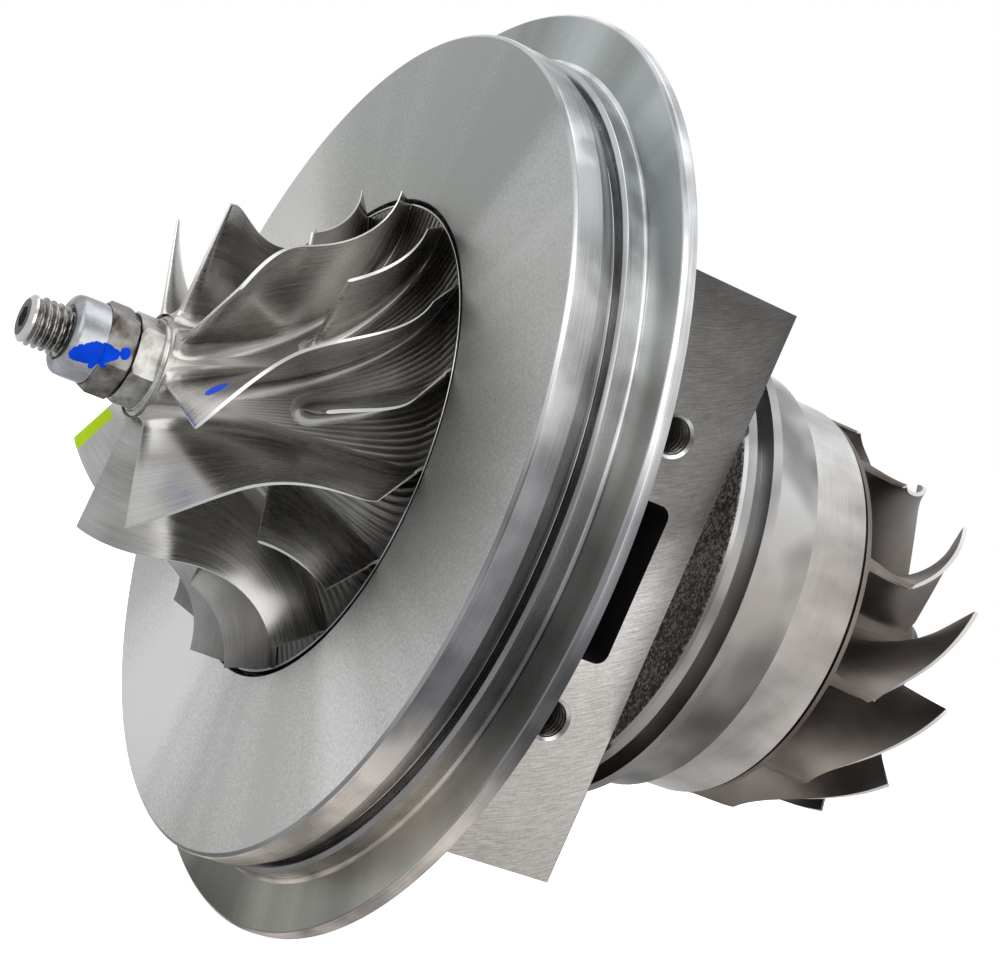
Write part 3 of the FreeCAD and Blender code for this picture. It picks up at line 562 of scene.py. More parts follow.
def housing_iron():
    """cast iron, with a milled pad and turned ends where the part was machined, painted light and shade by
    height on both, and painted shade in the slot and the ring's groove
    """
    ring_face = 58.8
    pad_skin = 47.05
    mouth_radius = 5.9
    turned_start = 59.3
    turned_radius = 49.0
    groove_start = 62.65
    groove_end = 66.55
    slot_half_width = 7.6
    slot_half_length = 19.9
    slot_floor = 10.0
    material, tree, principled, add = shader("housing_iron")
    place, x, radius = about_shaft(add)
    axes = add("ShaderNodeSeparateXYZ", {"Vector": place}).outputs
    down = product(add, axes["Y"], -1.0)
    on_pad = product(add, step_at(add, down, pad_skin, 0.02), outside(add, step_at(add, x, ring_face)))
    mouths = None
    for z in bolt_holes:
        hole = (pad_middle_x * mm, -pad_distance * mm, z * mm)
        near = outside(add, step_at(add, vector_number(add, "DISTANCE", place, hole), mouth_radius))
        mouths = near if mouths is None else maths(add, "ADD", mouths, near)
    mouths = product(add, mouths, outside(add, on_pad))
    turned_end = product(add, step_at(add, x, turned_start), step_at(add, radius, turned_radius))
    groove = product(add, step_at(add, x, groove_start), outside(add, step_at(add, x, groove_end)))
    groove = product(add, groove, turned_end)
    clouds = noise_on(add, place, 25.0, 4.0, 0.6)
    grit = noise_on(add, place, 1300.0, 4.0, 0.7)
    pitted = mapped(add, maths(add, "MULTIPLY_ADD", grit, 1.6, clouds), low=0.9, high=1.7)
    cast = ramp_on(add, pitted, [(0.2, (0.006, 0.0055, 0.005)), (0.5, (0.04, 0.037, 0.034)),
                                 (0.8, (0.26, 0.25, 0.24))])
    # Painted light and shade by height: the milled pad is brightest at mid height around the slot, darker
    # below and much darker towards its top, mixed with random clouds.
    height = mapped(add, axes["Z"], low=-0.072, high=0.066)
    clouds_and_painted_light = maths(add, "MULTIPLY_ADD", clouds, 0.35, product(add, height, 0.75))
    milled = ramp_on(add, clouds_and_painted_light, [(0.15, (0.44, 0.41, 0.38)), (0.35, (0.56, 0.53, 0.50)),
                                   (0.47, (0.84, 0.80, 0.77)), (0.56, (0.84, 0.81, 0.79)),
                                   (0.70, (0.25, 0.238, 0.226)), (0.92, (0.065, 0.063, 0.060))])
    arcs, tone = pad_arcs(add, x, axes["Z"], place, grit)
    milled = add("ShaderNodeVectorMath", {0: milled, 3: tone}, operation="SCALE").outputs[0]
    drift = noise_on(add, ring_cloth(add, 25.0, 1.2), 1.5, 2.0, 0.5)
    turned_colour = ramp_on(add, drift, [(0.36, 0.17), (0.48, 0.33), (0.60, 0.60)])
    # Painted shade by height: the turned ends darken towards the bottom.
    painted_height_shade = ramp_on(add, height, [(0.0, (0.50, 0.465, 0.43)), (0.58, (0.56, 0.525, 0.49)),
                                 (0.76, (1.0, 1.0, 1.0))])
    turned_colour = vector_maths(add, "MULTIPLY", turned_colour, painted_height_shade)
    # Painted shade: the ring's groove is given a darker grey.
    turned_colour = mixed(add, groove, turned_colour, (0.22, 0.22, 0.225, 1.0))
    sides = []
    slot = ((x, pad_middle_x, slot_half_width), (axes["Z"], pad_middle_z, slot_half_length))
    for value, middle, half in slot:
        away = maths(add, "ABSOLUTE", maths(add, "SUBTRACT", value, middle * mm))
        sides.append(outside(add, step_at(add, away, half)))
    # Painted shade: the inside of the drain slot is near black.
    painted_slot_shade = product(add, product(add, sides[0], sides[1]), step_at(add, down, slot_floor))
    rough_part = mixed(add, mouths, cast, (0.75, 0.74, 0.73, 1.0))
    rough_part = mixed(add, painted_slot_shade, rough_part, (0.008, 0.008, 0.008, 1.0))
    colour = mixed(add, turned_end, mixed(add, on_pad, rough_part, milled), turned_colour)
    bright = maths(add, "MAXIMUM", mouths, turned_end)
    machined = maths(add, "MAXIMUM", on_pad, bright)
    gloss = mapped(add, machined, to_low=0.75, to_high=0.52)
    gloss = maths(add, "MULTIPLY_ADD", bright, -0.22, gloss)
    tree.links.new(mapped(add, bright, to_low=0.45, to_high=1.0), principled.inputs["Metallic"])
    arcs = product(add, product(add, arcs, on_pad), 0.003 * mm)
    rough = mapped(add, machined, to_low=0.16 * mm, to_high=0.008 * mm)
    finish(tree, principled, add, colour, gloss, maths(add, "MULTIPLY_ADD", grit, rough, arcs))
    return material


# The lower and foot tints are painted light and shade by height; the streak on the lapped face is a painted
# radial highlight.
turned_iron = turned_metal(
    "turned_iron_rims", [(0.36, 0.26), (0.47, 0.52), (0.60, 0.84)], (0.20, 0.32), 0.004,
    along=25.0, around=2.2, lower_painted_light=(0.23, 0.23, 0.242), foot_painted_light=(1.10, 0.99, 0.90))
bright_turned = turned_metal(
    "bright_chamfers", [(0.34, 0.24), (0.60, 0.50)], (0.2, 0.3), 0.003, lower_painted_light=(0.58, 0.58, 0.59))
matte_face = turned_metal(
    "lapped_iron_face", [(0.38, (0.31, 0.315, 0.30)), (0.66, (0.52, 0.52, 0.505))], (0.42, 0.52), 0.003,
    along=0.0, around=0.9, anisotropy=0.5, grain=0.5, streak=0.12, lower_painted_light=(1.36, 1.34, 1.36))
flange_face = turned_metal(
    "turned_flange_face", [(0.36, (0.20, 0.215, 0.205)), (0.62, (0.44, 0.46, 0.45))], (0.34, 0.44), 0.004,
    along=0.0, around=1.6, anisotropy=0.5, grain=0.18)
turned_steel = turned_metal(
    "turned_shield_steel", [(0.36, 0.42), (0.48, 0.58), (0.62, 0.80)], (0.24, 0.36), 0.005,
    along=20.0, around=1.6, lower_painted_light=(0.66, 0.61, 0.57))
collar_steel = turned_metal(
    "domed_collar_steel", [(0.34, 0.24), (0.48, 0.29), (0.62, 0.38)], (0.24, 0.34), 0.002,
    lower_painted_light=(0.92, 0.95, 1.0))
nose_metal = metal("mottled_nose_aluminium", [(0.18, 0.165, 0.145), (0.52, 0.52, 0.51)], (0.22, 0.38),
                   0.35, 0.015, lathe=0.006, lathe_pitch=0.5, patch=260.0)
thread_steel = metal("rolled_thread_steel", [(0.13, 0.122, 0.114), (0.38, 0.37, 0.355)], (0.2, 0.32),
                     0.3, 0.008, patch=300.0)
bare_aluminium = metal("bare_aluminium", [(0.25, 0.242, 0.23), (0.50, 0.49, 0.47)], (0.22, 0.34),
                       0.5, 0.004, lathe=0.008, lathe_pitch=0.6, patch=22.0)
bright_edge = metal("bright_blade_edge", [(0.40, 0.395, 0.385), (0.66, 0.65, 0.635)], (0.25, 0.35),
                    0.3, 0.002)
cast_alloy = metal("cast_turbine_alloy", [(0.085, 0.068, 0.058), (0.24, 0.215, 0.195)], (0.40, 0.55),
                   0.4, 0.02, patch=30.0)
cast_edge = metal("ground_turbine_edge", [(0.55, 0.53, 0.50), (0.72, 0.70, 0.67)], (0.3, 0.4), 0.3, 0.003)
cast_iron = housing_iron()
plain_steel = metal("plain_steel", [(0.30, 0.29, 0.275), (0.46, 0.45, 0.43)], (0.30, 0.42), 0.3, 0.006)
bare_nut_steel = metal("bare_nut_steel", [(0.06, 0.047, 0.036), (0.30, 0.295, 0.285)], (0.30, 0.48),
                       0.35, 0.03, patch=240.0)
ground_steel = metal("ground_steel", [(0.26, 0.25, 0.24), (0.46, 0.45, 0.44)], (0.16, 0.26), 0.3, 0.003)
cut_thread_iron = metal("cut_thread_iron", [(0.06, 0.056, 0.052), (0.22, 0.21, 0.20)], (0.22, 0.32),
                        0.3, 0.006)
bright_ground = metal("bright_ground_steel", [(0.42, 0.41, 0.40), (0.58, 0.57, 0.56)], (0.16, 0.26),
                      0.3, 0.003)
dark_steel = metal("blackened_steel", [(0.06, 0.06, 0.06), (0.12, 0.12, 0.12)], (0.4, 0.5), 0.3, 0.01)
bronze = metal("bearing_bronze", [(0.50, 0.36, 0.20), (0.62, 0.46, 0.27)], (0.3, 0.4), 0.3, 0.004)
rubber = metal("seal_rubber", [(0.02, 0.02, 0.02), (0.03, 0.03, 0.03)], (0.6, 0.7), 0.3, 0.004, metallic=0.0)

# Inspection paint: blue on the nut and one blade, yellow-green on another blade's leading edge
blue = (0.0, 0.065, 0.74)
yellow_green = (0.52, 0.76, 0.01)
nut_blots = [(spot(-83.6, 9.5, -20.0), spot(-75.2, 10.2, 5.0), 1.25),
             (spot(-81.0, 9.5, -16.0), spot(-74.0, 10.4, 6.0), 0.9),
             (spot(-78.0, 9.8, -12.0), spot(-78.6, 10.0, -30.0), 0.5),
             (spot(-78.0, 9.8, -14.0), spot(-75.6, 10.6, -17.0), 0.3),
             (spot(-72.9, 10.3, 4.0), spot(-72.5, 10.3, 13.0), 1.6)]
collar_steel = painted("painted_collar_steel", collar_steel, nut_blots, blue)
rough_steel = painted("painted_nut_steel", bare_nut_steel, nut_blots, blue)

node_materials = {
    "backplate": turned_iron, "backplate_bolts": dark_steel, "spigot_o_ring": rubber,
    "thrust_bearing": bronze, "thrust_bearing_screws": dark_steel,
    "compressor_journal_bearing": bronze, "turbine_journal_bearing": bronze,
    "bearing_housing": cast_iron, "heat_shield": turned_steel,
    "shaft": ground_steel, "oil_slinger": ground_steel, "thrust_collar": ground_steel,
    "compressor_wheel": bare_aluminium, "turbine_wheel": cast_alloy,
}
for node_name, node in nodes.items():
    material = node_materials.get(node_name, plain_steel)
    if not node.material_slots:
        node.data.materials.append(material)
    for material_slot in node.material_slots:
        material_slot.material = material


# Compressor wheel

compressor_count = 8
compressor_pitch = 360.0 / compressor_count
compressor_phase = 37.1
hub_inlet_radius = 12.5
hub_bend = (wheel_inlet + 6.5, 13.0)
hub_outlet_radius = 57.6
inlet_radius = 41.0
inlet_length = 16.1
outlet_width = 7.5
hub_wrap = 53.5
hub_sweep = 5.1
edge_wrap = 45.5
edge_sweep = 3.3
splitter_hub_start = 0.45
splitter_edge_start = 0.535
blade_half = 1.3
blade_foot_fillet = 3.0
blade_nose = 2.5
blade_slimming = 0.78
grooves_per_pitch = 20
cutter_radius = 2.6
floor_number = 50.0
blue_blade = 1
green_blade = 4
nose_face = 10.1
nose_bevel = 0.8
nose_end = wheel_start + 5.6


def compressor_hub_line(share):
    return straight_then_quarter((wheel_inlet, hub_inlet_radius), hub_bend,
                                 (wheel_floor, hub_outlet_radius), share)


def compressor_edge_line(share):
    return straight_then_quarter((wheel_inlet, inlet_radius), (wheel_inlet + inlet_length, inlet_radius),
                                 (wheel_floor - outlet_width, wheel_tip), share)


def compressor_turn(share, wrap, sweep):
    "the angle of a blade, which wraps fast at the inlet and sweeps back at the outlet"
    return compressor_phase + wrap * (1 - (1 - share) ** 3) + sweep * np.maximum(share, 0.0) ** 6


def compressor_root(share):
    x, radius = compressor_hub_line(share)
    return spot(x, radius, compressor_turn(share, hub_wrap, hub_sweep))


def compressor_edge(share):
    x, radius = compressor_edge_line(share)
    return spot(x, radius, compressor_turn(share, edge_wrap, edge_sweep))


def splitter_root(share):
    return compressor_root(splitter_hub_start + (1 - splitter_hub_start) * np.asarray(share))


def splitter_edge(share):
    return compressor_edge(splitter_edge_start + (1 - splitter_edge_start) * np.asarray(share))


def blade_paint(add, place, share, level, number):
    "masks of the yellow-green band on one blade's leading edge and of the blue dot on another blade"
    band_width = 0.036
    band_foot = 0.33
    dot_share = 0.102
    dot_level = 0.60
    wobble = noise_on(add, place, 500.0, 2.0, 0.6)
    edge = maths(add, "MULTIPLY_ADD", wobble, 0.008, share)
    green = product(add, between(add, edge, -0.2, band_width), between(add, level, band_foot, 2.0))
    green = product(add, green, between(add, number, green_blade, green_blade + 1.0))
    off_share = maths(add, "SUBTRACT", share, dot_share)
    off_level = maths(add, "SUBTRACT", level, dot_level)
    oval = add("ShaderNodeCombineXYZ", {"X": product(add, off_share, 27.0), "Y": product(add, off_level, 9.5),
                                        "Z": product(add, wobble, 0.6)}).outputs[0]
    size = vector_number(add, "LENGTH", oval)
    seen_side = between(add, number, blue_blade + 0.5, blue_blade + 1.0)
    return green, product(add, between(add, size, -1.0, 1.0), seen_side)


def milled_aluminium():
    """milled metal with streaks along the flow, painted shade down in the passages and towards the bottom,
    and inspection paint on two blades
    """
    material, tree, principled, add = shader("milled_aluminium")
    place = add("ShaderNodeTexCoord").outputs["Object"]
    flow = add("ShaderNodeAttribute", attribute_name="flow").outputs["Vector"]
    marks = add("ShaderNodeSeparateXYZ", {"Vector": flow}).outputs
    share, level, number = marks["X"], marks["Y"], marks["Z"]
    streaks = noise_on(add, vector_maths(add, "MULTIPLY", flow, (2.5, 34.0, 7.0)), 1.0, 3.0, 0.65)
    clouds = noise_on(add, place, 26.0, 3.0, 0.5)
    # Painted shade: the colour darkens lower on the blades and on the hub floor; it also darkens towards the
    # outlet.
    value = maths(add, "MULTIPLY_ADD", streaks, 0.34, product(add, level, 0.35))
    value = maths(add, "MULTIPLY_ADD", clouds, 1.7, value)
    value = maths(add, "MULTIPLY_ADD", share, -0.45, value)
    value = maths(add, "ADD", value, 0.38)
    tone = ramp_on(add, mapped(add, value, low=0.35, high=1.85),
                   [(0.18, (0.085, 0.079, 0.073)), (0.42, (0.22, 0.21, 0.197)), (0.66, (0.46, 0.45, 0.435)),
                    (0.92, (0.84, 0.83, 0.81))])
    # Painted shade: the wheel's colour darkens towards its bottom.
    height = mapped(add, place_height(add, place), low=-0.05, high=0.01, to_low=0.32, to_high=1.0)
    tone = add("ShaderNodeVectorMath", {0: tone, 3: height}, operation="SCALE").outputs[0]
    green, dot = blade_paint(add, place, share, level, number)
    colour = mixed(add, green, mixed(add, dot, tone, (*blue, 1.0)), (*yellow_green, 1.0))
    tree.links.new(outside(add, maths(add, "ADD", green, dot)), principled.inputs["Metallic"])
    principled.inputs["Specular IOR Level"].default_value = 0.05
    gloss = mapped(add, streaks, low=0.3, high=0.7, to_low=0.2, to_high=0.34)
    finish(tree, principled, add, colour, gloss, product(add, streaks, 0.007 * mm))
    return material


def hub_floor():
    "the hub between the blades, with the cutter's grooves along the flow"
    shares = np.linspace(-0.02, 1, 110)
    columns = compressor_count * grooves_per_pitch * 6
    across = np.arange(columns) / columns * 360.0
    x, radius = compressor_hub_line(shares)
    way = unit(np.stack([np.gradient(x), np.gradient(radius)], axis=-1))
    groove_width = 2 * math.pi * radius / (compressor_count * grooves_per_pitch)
    cusp = groove_width ** 2 / (8 * cutter_radius)
    inside = np.mod(across / compressor_pitch * grooves_per_pitch, 1.0)
    rise = cusp[:, None] * ((2 * inside[None, :] - 1) ** 2 - 1)
    place_x = x[:, None] - way[:, 1][:, None] * rise
    place_radius = radius[:, None] + way[:, 0][:, None] * rise
    angle = compressor_turn(shares, hub_wrap, hub_sweep)[:, None] + across[None, :]
    points = spot(place_x, place_radius, angle).reshape(-1, 3)
    # Painted shade: the flow level, which lightens the colour, is lowest at the bottom of each cutter groove.
    level = 0.3 * (2 * inside - 1) ** 4 - 0.3
    number = floor_number + across / 18.0
    marks = np.stack(np.broadcast_arrays(shares[:, None], level[None, :], number[None, :]), axis=-1)
    return points, grid_faces(len(shares), columns, wrap=True), marks.reshape(-1, 3)


def compressor_wheel():
    "full and splitter blades on their hub floor, the six-sided nose and the back disc"
    hole_radius = 6.1
    back_radius = 57.9
    back_face = wheel_back - 0.05
    fine = np.linspace(-0.1, 1.05, 400)
    hub_line = compressor_hub_line(fine)
    full = blade(compressor_root, compressor_edge, hub_line, blade_half, 0.40, blade_foot_fillet,
                 blade_nose, blade_slimming)
    full[0][:, 0] = np.maximum(full[0][:, 0], wheel_inlet - 0.9)
    splitter = blade(splitter_root, splitter_edge, hub_line, blade_half, 0.42, blade_foot_fillet,
                     blade_nose, blade_slimming, rows=44)
    back = turned([(wheel_floor, 57.4), (wheel_floor, back_radius, 0.2),
                   (wheel_floor + 2.7, back_radius, 0.3), (back_face, 15.5, 0.5), (back_face, hole_radius)])
    corner = hexagon_width / math.sqrt(3)

    def limit(x):
        return min(corner, nose_face + (x - wheel_start) * (corner - nose_face) / nose_bevel)

    bevel = np.linspace(wheel_start, wheel_start + nose_bevel, 8)
    nose_places = np.concatenate([[wheel_start, wheel_start], bevel, [nose_end - 0.3, nose_end]])
    nose = six_sided(nose_places, limit, hexagon_width, hexagon_phase)
    face = turned([(wheel_start, hole_radius), (wheel_start, nose_face)], 360)
    shoulder = turned([(nose_end, 9.4), (nose_end, 10.9, 0.3), (nose_end + 0.9, 11.1, 0.4),
                       (nose_end + 1.3, 12.3, 0.6), (wheel_inlet + 0.3, 12.55)])
    floor_points, floor_faces, floor_flow = hub_floor()
    parts = [(floor_points, floor_faces), all_blades(full, compressor_count),
             all_blades(splitter, compressor_count, -compressor_pitch / 2), back]
    flow = [floor_flow, numbered(full[3], compressor_count), numbered(splitter[3], compressor_count, 20)]
    for points, faces in (nose, face, shoulder):
        parts.append((points, [], [], faces))
    for points in (back[0], nose[0], face[0], shoulder[0]):
        flow.append(np.tile((0.5, 0.8, floor_number), (len(points), 1)))
    new_piece("compressor_wheel_detail", parts, "rotor", [milled_aluminium(), bright_edge, nose_metal],
              ["compressor_wheel"], smooth_angle=38.0, flow=flow)


compressor_wheel()


# Turbine wheel

turbine_count = 11
turbine_radius = 51.7
turbine_hub_length = 46
turbine_nose_radius = 14.0
turbine_inlet_width = 12.8
turbine_edge_length = 28.0
turbine_throat_radius = 45.5
turbine_flare_height = 10.0
turbine_flare_length = 24.0
turbine_phase = 23.6
turbine_root_lead = 2.6
turbine_root_wrap = 16.0
turbine_edge_wrap = 37.4


def turbine_hub_line(share):
    turn = (1 - share) * math.pi / 2
    return (turbine_floor + turbine_hub_length - turbine_hub_length * np.sin(turn),
            turbine_radius + (turbine_nose_radius - turbine_radius) * np.cos(turn))


def turbine_edge_line(share):
    start = turbine_floor + turbine_inlet_width
    x = start + share * turbine_edge_length
    near = np.maximum(0.0, 1 - (x - start) / turbine_flare_length)
    flare = 1 - np.sqrt(np.maximum(0.0, 1 - near * near))
    radius = turbine_throat_radius + turbine_flare_height * flare
    return x, np.minimum(radius, turbine_radius)


def turbine_root(share):
    share = np.asarray(share, float)
    x, radius = turbine_hub_line(share)
    turn = 0.3 * share + 0.7 * share ** 2
    return spot(x, radius, turbine_phase + turbine_root_lead + turbine_root_wrap * turn)


def turbine_edge(share):
    share = np.asarray(share, float)
    x, radius = turbine_edge_line(share)
    turn = 0.5 * share + 0.5 * share ** 3
    return spot(x, radius, turbine_phase + turbine_edge_wrap * turn)


def turbine_wheel():
    "eleven cast blades on a scooped hub with its end boss"
    fine = np.linspace(-0.05, 1.08, 400)
    hub_line = tuple(v[::-1] for v in turbine_hub_line(fine))
    points, sides, crest = blade(turbine_root, turbine_edge, hub_line, root_half=1.6, edge_half=0.55,
                                 fillet=2.6, nose=0.25)[:3]
    radius = np.hypot(points[:, 1], points[:, 2])
    shrink = np.minimum(1.0, turbine_radius / radius)
    points = points * np.stack([np.ones_like(shrink), shrink, shrink], axis=-1)
    shares = np.linspace(0, 1, 60)
    x, radius = turbine_hub_line(shares)
    hub_end = turbine_floor + turbine_hub_length
    outline = [(turbine_back, 13.1), (turbine_back, turbine_radius, 0.2)]
    outline += list(zip(x, radius))
    outline += [(hub_end + 2.5, turbine_nose_radius, 1.0), (hub_end + 4.0, 11.3, 1.0),
                (hub_end + 7.9, 10.5, 0.8), (hub_end + 8.0, 0.01)]
    parts = [turned(outline, segments=200), all_blades((points, sides, crest), turbine_count)]
    new_piece("turbine_wheel_detail", parts, "rotor", [cast_alloy, cast_edge], ["turbine_wheel"],
              smooth_angle=38.0)


turbine_wheel()


# Backplate, nut, shaft end and drain threads

def backplate():
    "the turned disc with its register, flange and wheel pocket"
    front_radius = 101.0
    neck_radius = 97.4
    register_radius = 101.25
    pocket_foot = -6.0
    pocket_radius = 58.9
    spigot_radius = 56.0
    groove_radius = 54.8
    rear_recess = 1.6
    joint = reach("backplate", 0, 1) - 3.0
    disc_back = disc_front + 10.4
    web = disc_front + 8
    outline = [(pocket_foot, bore_radius), (pocket_foot, 15.5, 0.5), (-14.2, pocket_radius, 1.0),
               (disc_front, pocket_radius, 0.4), (disc_front, 100.1, 0.25),
               (disc_front + 0.9, front_radius, 0.3), (disc_front + 7.1, front_radius, 0.3),
               (disc_back, 99.6, 0.25), (disc_back, neck_radius, 0.3), (-5.5, neck_radius, 0.3),
               (-5.5, 100.3, 0.2), (-4.8, register_radius, 0.2), (0.0, register_radius, 1.1),
               (0.0, flange_radius - 0.9, 0.3), (0.9, flange_radius, 0.3), (3.2, flange_radius, 0.3),
               (joint, flange_radius - 9.5, 0.4), (joint, 93.0, 0.5), (web, 91.0, 2.0), (web, 83.0, 2.0),
               (joint, 81.0, 0.5), (joint, spigot_radius), (joint + 0.6, spigot_radius),
               (joint + 0.6, groove_radius), (joint + 2.2, groove_radius), (joint + 2.2, spigot_radius),
               (joint + 3.0, spigot_radius, 0.2), (joint + 3.0, 48.0, 0.3), (rear_recess, 42.0, 1.0),
               (rear_recess, bore_radius), (pocket_foot, bore_radius)]
    points, faces = turned(outline, segments=384)

    def front_face(x, radius):
        return x < disc_front + 0.02 and radius > 59.2

    def cover_seat(x, radius):
        return -0.05 < x < 0.05 and radius > 102.2

    def chamfer(x, radius):
        return -5.6 < x < -4.6 or 0 < x < 0.25 and radius > 112 or x < disc_front + 0.6

    new_piece("backplate_detail", [zoned(points, faces, (front_face, cover_seat, chamfer))], "housing",
              [turned_iron, matte_face, flange_face, bright_turned], ["backplate"], smooth_angle=25.0)


def nut():
    "hexagon nut with a domed collar"
    collar_length = 7.6
    collar_radius = 9.4
    hole_mouth = (nut_start + 1.2, 5.97)
    hexagon_start = nut_start + collar_length
    corner = hexagon_width / math.sqrt(3)

    def limit(x):
        front = 9.6 + (x - hexagon_start) * 1.1
        back = corner - 0.6 + (nut_end - x) * 1.2
        return min(corner, front, back)

    places = np.concatenate([np.linspace(hexagon_start, hexagon_start + 1.4, 12), [nut_end - 1.0],
                             np.linspace(nut_end - 0.6, nut_end, 5)])
    hexagon = six_sided(places, limit, hexagon_width, hexagon_phase)
    collar = turned([hole_mouth, (nut_start, 6.6, 0.2), (nut_start, 8.0, 0.8), (nut_start + 0.9, 9.2, 1.2),
                     (nut_start + 2.6, collar_radius, 0.8), (hexagon_start + 0.2, collar_radius)], 360, 10)
    back = turned([(nut_end, 10.0), (nut_end, 6.0), hole_mouth], 360)
    parts = [(*collar, []), (hexagon[0], [], hexagon[1]), (back[0], [], back[1])]
    new_piece("compressor_nut_detail", parts, "rotor", [collar_steel, rough_steel], ["compressor_nut"])


def shaft():
    "the whole shaft: socketed tip, thread, seats for what it carries and the seal boss"
    socket_width = 4.6
    socket_depth = 3.4
    socket_phase = 19.0
    seat_radius = 6.0
    journal_radius = 8.0
    neck_radius = 7.2
    boss_radius = 13.0
    groove_radius = 10.85
    thread_crest = 5.85
    thread_root = 4.75
    thread_pitch = 1.75
    columns = 360
    tip = reach("shaft", 0, 0)
    end = reach("shaft", 0, 1)
    socket_floor = tip + socket_depth
    socket = six_sided([tip, socket_floor], lambda x: socket_width, socket_width, socket_phase)
    points = np.concatenate([socket[0], spot(socket_floor, 0.0, 0.0)[None, :]])
    cap = [(columns + k, columns + (k + 1) % columns, 2 * columns) for k in range(columns)]
    angles = np.arange(float(columns))
    rim = [spot(tip, hexagon_radius(angles, socket_width, socket_phase), angles)]
    for step, radius in ((0.0, 4.3), (0.25, 4.75), (0.8, 5.5), (1.4, 5.55), (1.8, 4.85)):
        rim.append(spot(tip + step, radius + 0 * angles, angles))
    rim_faces = grid_faces(len(rim), columns, wrap=True)
    thread_end = nut_start + 1.4
    thread = threaded(tip + 1.8, thread_end, thread_crest, thread_root, thread_pitch)
    journal = reach("compressor_journal_bearing", 0, 0) - 2.5
    body = turned([(thread_end, 4.85), (thread_end + 0.5, 5.9), (wheel_start, 5.9),
                   (wheel_start, seat_radius), (journal, seat_radius), (journal, journal_radius, 0.2),
                   (end - 30.0, journal_radius), (end - 29.0, neck_radius, 0.3),
                   (end - 14.0, neck_radius, 0.5), (end - 14.0, boss_radius, 0.3),
                   (end - 7.0, boss_radius, 0.1), (end - 7.0, groove_radius), (end - 5.1, groove_radius),
                   (end - 5.1, boss_radius, 0.1), (end, boss_radius), (end, 0.01)], segments=128)
    parts = [(points, socket[1] + cap), (np.concatenate(rim), rim_faces[columns:], [], rim_faces[:columns]),
             (thread[0], [], thread[1]), body]
    new_piece("shaft_detail", parts, "rotor", [bright_ground, thread_steel, dark_steel], ["shaft"],
              smooth_angle=35.0)


def drain_threads():
    "the cut threads in the drain pad's two bolt holes"
    thread_mouth = 46.3
    thread_length = 14.6
    thread_crest = 4.05
    thread_root = 4.49
    thread_pitch = 1.5
    parts = []
    for place in bolt_holes:
        points, faces = threaded(0.0, thread_length, thread_crest, thread_root, thread_pitch, columns=72)
        turned_up = np.stack([pad_middle_x - points[:, 2], points[:, 0] - thread_mouth,
                              place + points[:, 1]], axis=-1)
        parts.append((turned_up, faces))
    new_piece("drain_bolt_threads", parts, "housing", [cut_thread_iron], smooth_angle=35.0)


backplate()
nut()
shaft()
drain_threads()


# Camera, light and floor

def camera():
    "placed where the photograph was taken from, and rolled as it was"
    place = Vector((-235.56, -510.74, 39.44)) * mm
    ahead = Vector((0.4599, 0.8861, -0.0578)).normalized()
    up = Vector((-0.3296, 0.2308, 0.9155)).normalized()
    data = bpy.data.cameras.new("camera")
    data.sensor_width = 36.0
    data.lens = 85.47
    data.clip_end = 10.0
    piece = placed("camera", data)
    right = ahead.cross(up).normalized()
    up = right.cross(ahead)
    turn = Matrix((right, up, -ahead)).transposed().to_4x4()
    piece.matrix_world = Matrix.Translation(place) @ turn
    bpy.context.scene.camera = piece


def softbox(name, place, aim, size, watts, colour=(1.0, 1.0, 1.0)):
    "a soft rectangular lamp at a place, turned towards its aim"
    data = bpy.data.lights.new(name, "AREA")
    data.shape = "RECTANGLE"
    data.size, data.size_y = size
    data.energy = watts
    data.color = colour
    piece = placed(name, data)
    piece.location = place
    piece.rotation_euler = (Vector(aim) - Vector(place)).to_track_quat("-Z", "Y").to_euler()


def shown(add):
    "1 for rays that see, mirror or look through something, and 0 for those that only light the object"
    path = add("ShaderNodeLightPath").outputs
    either = maths(add, "MAXIMUM", path["Is Camera Ray"], path["Is Glossy Ray"])
    return maths(add, "MAXIMUM", either, path["Is Transmission Ray"])


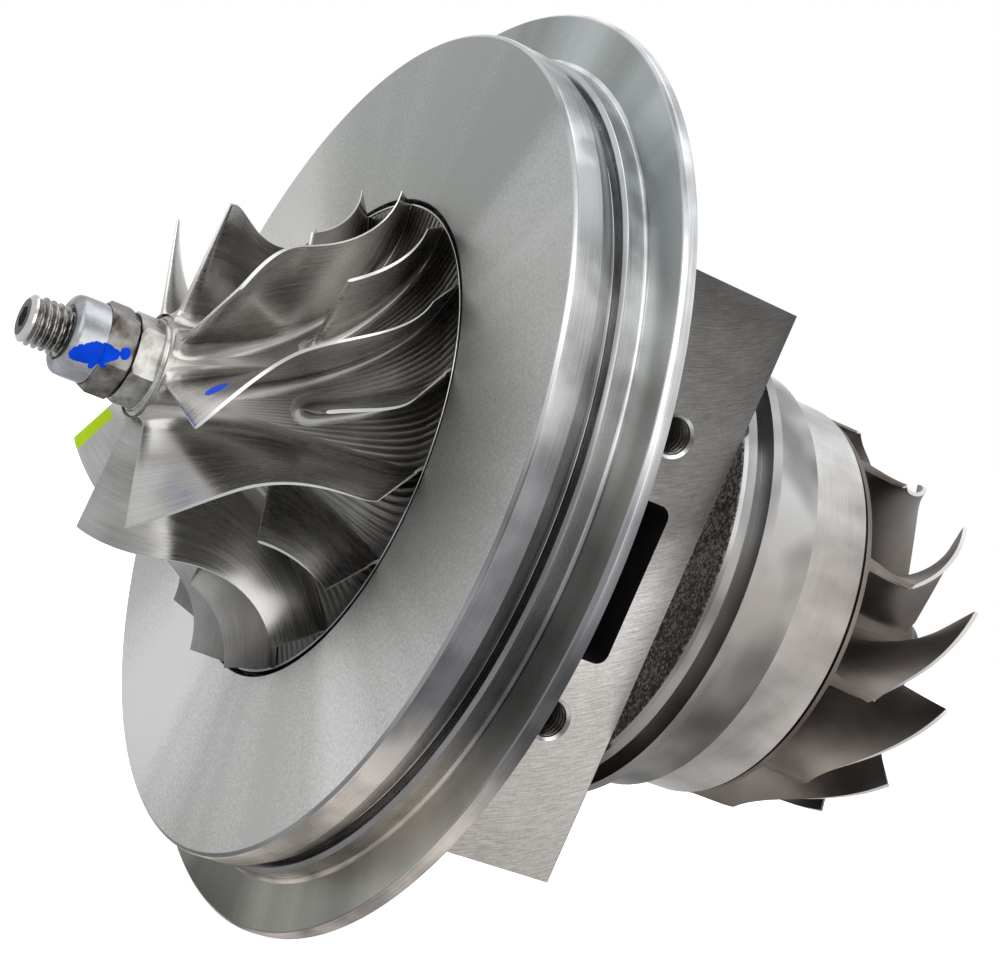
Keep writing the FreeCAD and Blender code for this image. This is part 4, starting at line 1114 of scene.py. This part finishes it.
def background():
    "white where it is seen, mirrored or looked through, and a grey room where it lights the object"
    room_strength = 0.45
    world = bpy.data.worlds.new("studio")
    bpy.context.scene.world = world
    world.use_nodes = True
    world.node_tree.nodes.clear()
    add = adder(world.node_tree)
    room = add("ShaderNodeBackground", {"Color": (0.93, 0.96, 1.0, 1), "Strength": room_strength})
    white = add("ShaderNodeBackground", {"Color": (1, 1, 1, 1), "Strength": 1.0})
    mix = add("ShaderNodeMixShader", {0: shown(add), 1: room.outputs[0], 2: white.outputs[0]})
    add("ShaderNodeOutputWorld", {"Surface": mix.outputs[0]})


def floor():
    "a pale floor under the big flange, white to the eye and fainter in reflections"
    seen_glow = 0.8
    mirrored_glow = 0.12
    half = 2.0
    material, tree, principled, add = shader("pale_floor")
    principled.inputs["Base Color"].default_value = (0.9, 0.9, 0.9, 1)
    principled.inputs["Roughness"].default_value = 0.9
    seen = add("ShaderNodeLightPath").outputs["Is Camera Ray"]
    strength = mapped(add, seen, to_low=mirrored_glow, to_high=seen_glow)
    white = add("ShaderNodeEmission", {"Color": (1, 1, 1, 1), "Strength": strength})
    both = add("ShaderNodeAddShader", {0: principled.outputs[0], 1: white.outputs[0]})
    mix = add("ShaderNodeMixShader", {0: shown(add), 1: principled.outputs[0], 2: both.outputs[0]})
    tree.links.new(mix.outputs[0], tree.nodes["Material Output"].inputs["Surface"])
    mesh = bpy.data.meshes.new("floor")
    low = -flange_radius * mm
    mesh.from_pydata([(-half, -half, low), (half, -half, low), (half, half, low), (-half, half, low)],
                     [], [(0, 1, 2, 3)])
    mesh.materials.append(material)
    placed("floor", mesh)


camera()
background()
floor()
softbox("key", place=(-0.9, -0.7, 0.9), aim=(0, 0, 0), size=(1.3, 1.1), watts=8)
softbox("side", place=(0.2, -1.3, 0.25), aim=(0.05, 0, 0), size=(0.8, 1.2), watts=6, colour=(1.0, 0.99, 0.97))
softbox("top", place=(0.1, 0.1, 1.2), aim=(0, 0, 0), size=(1.1, 1.1), watts=5, colour=(0.95, 0.97, 1.0))
bpy.context.scene.view_settings.view_transform = "Standard"
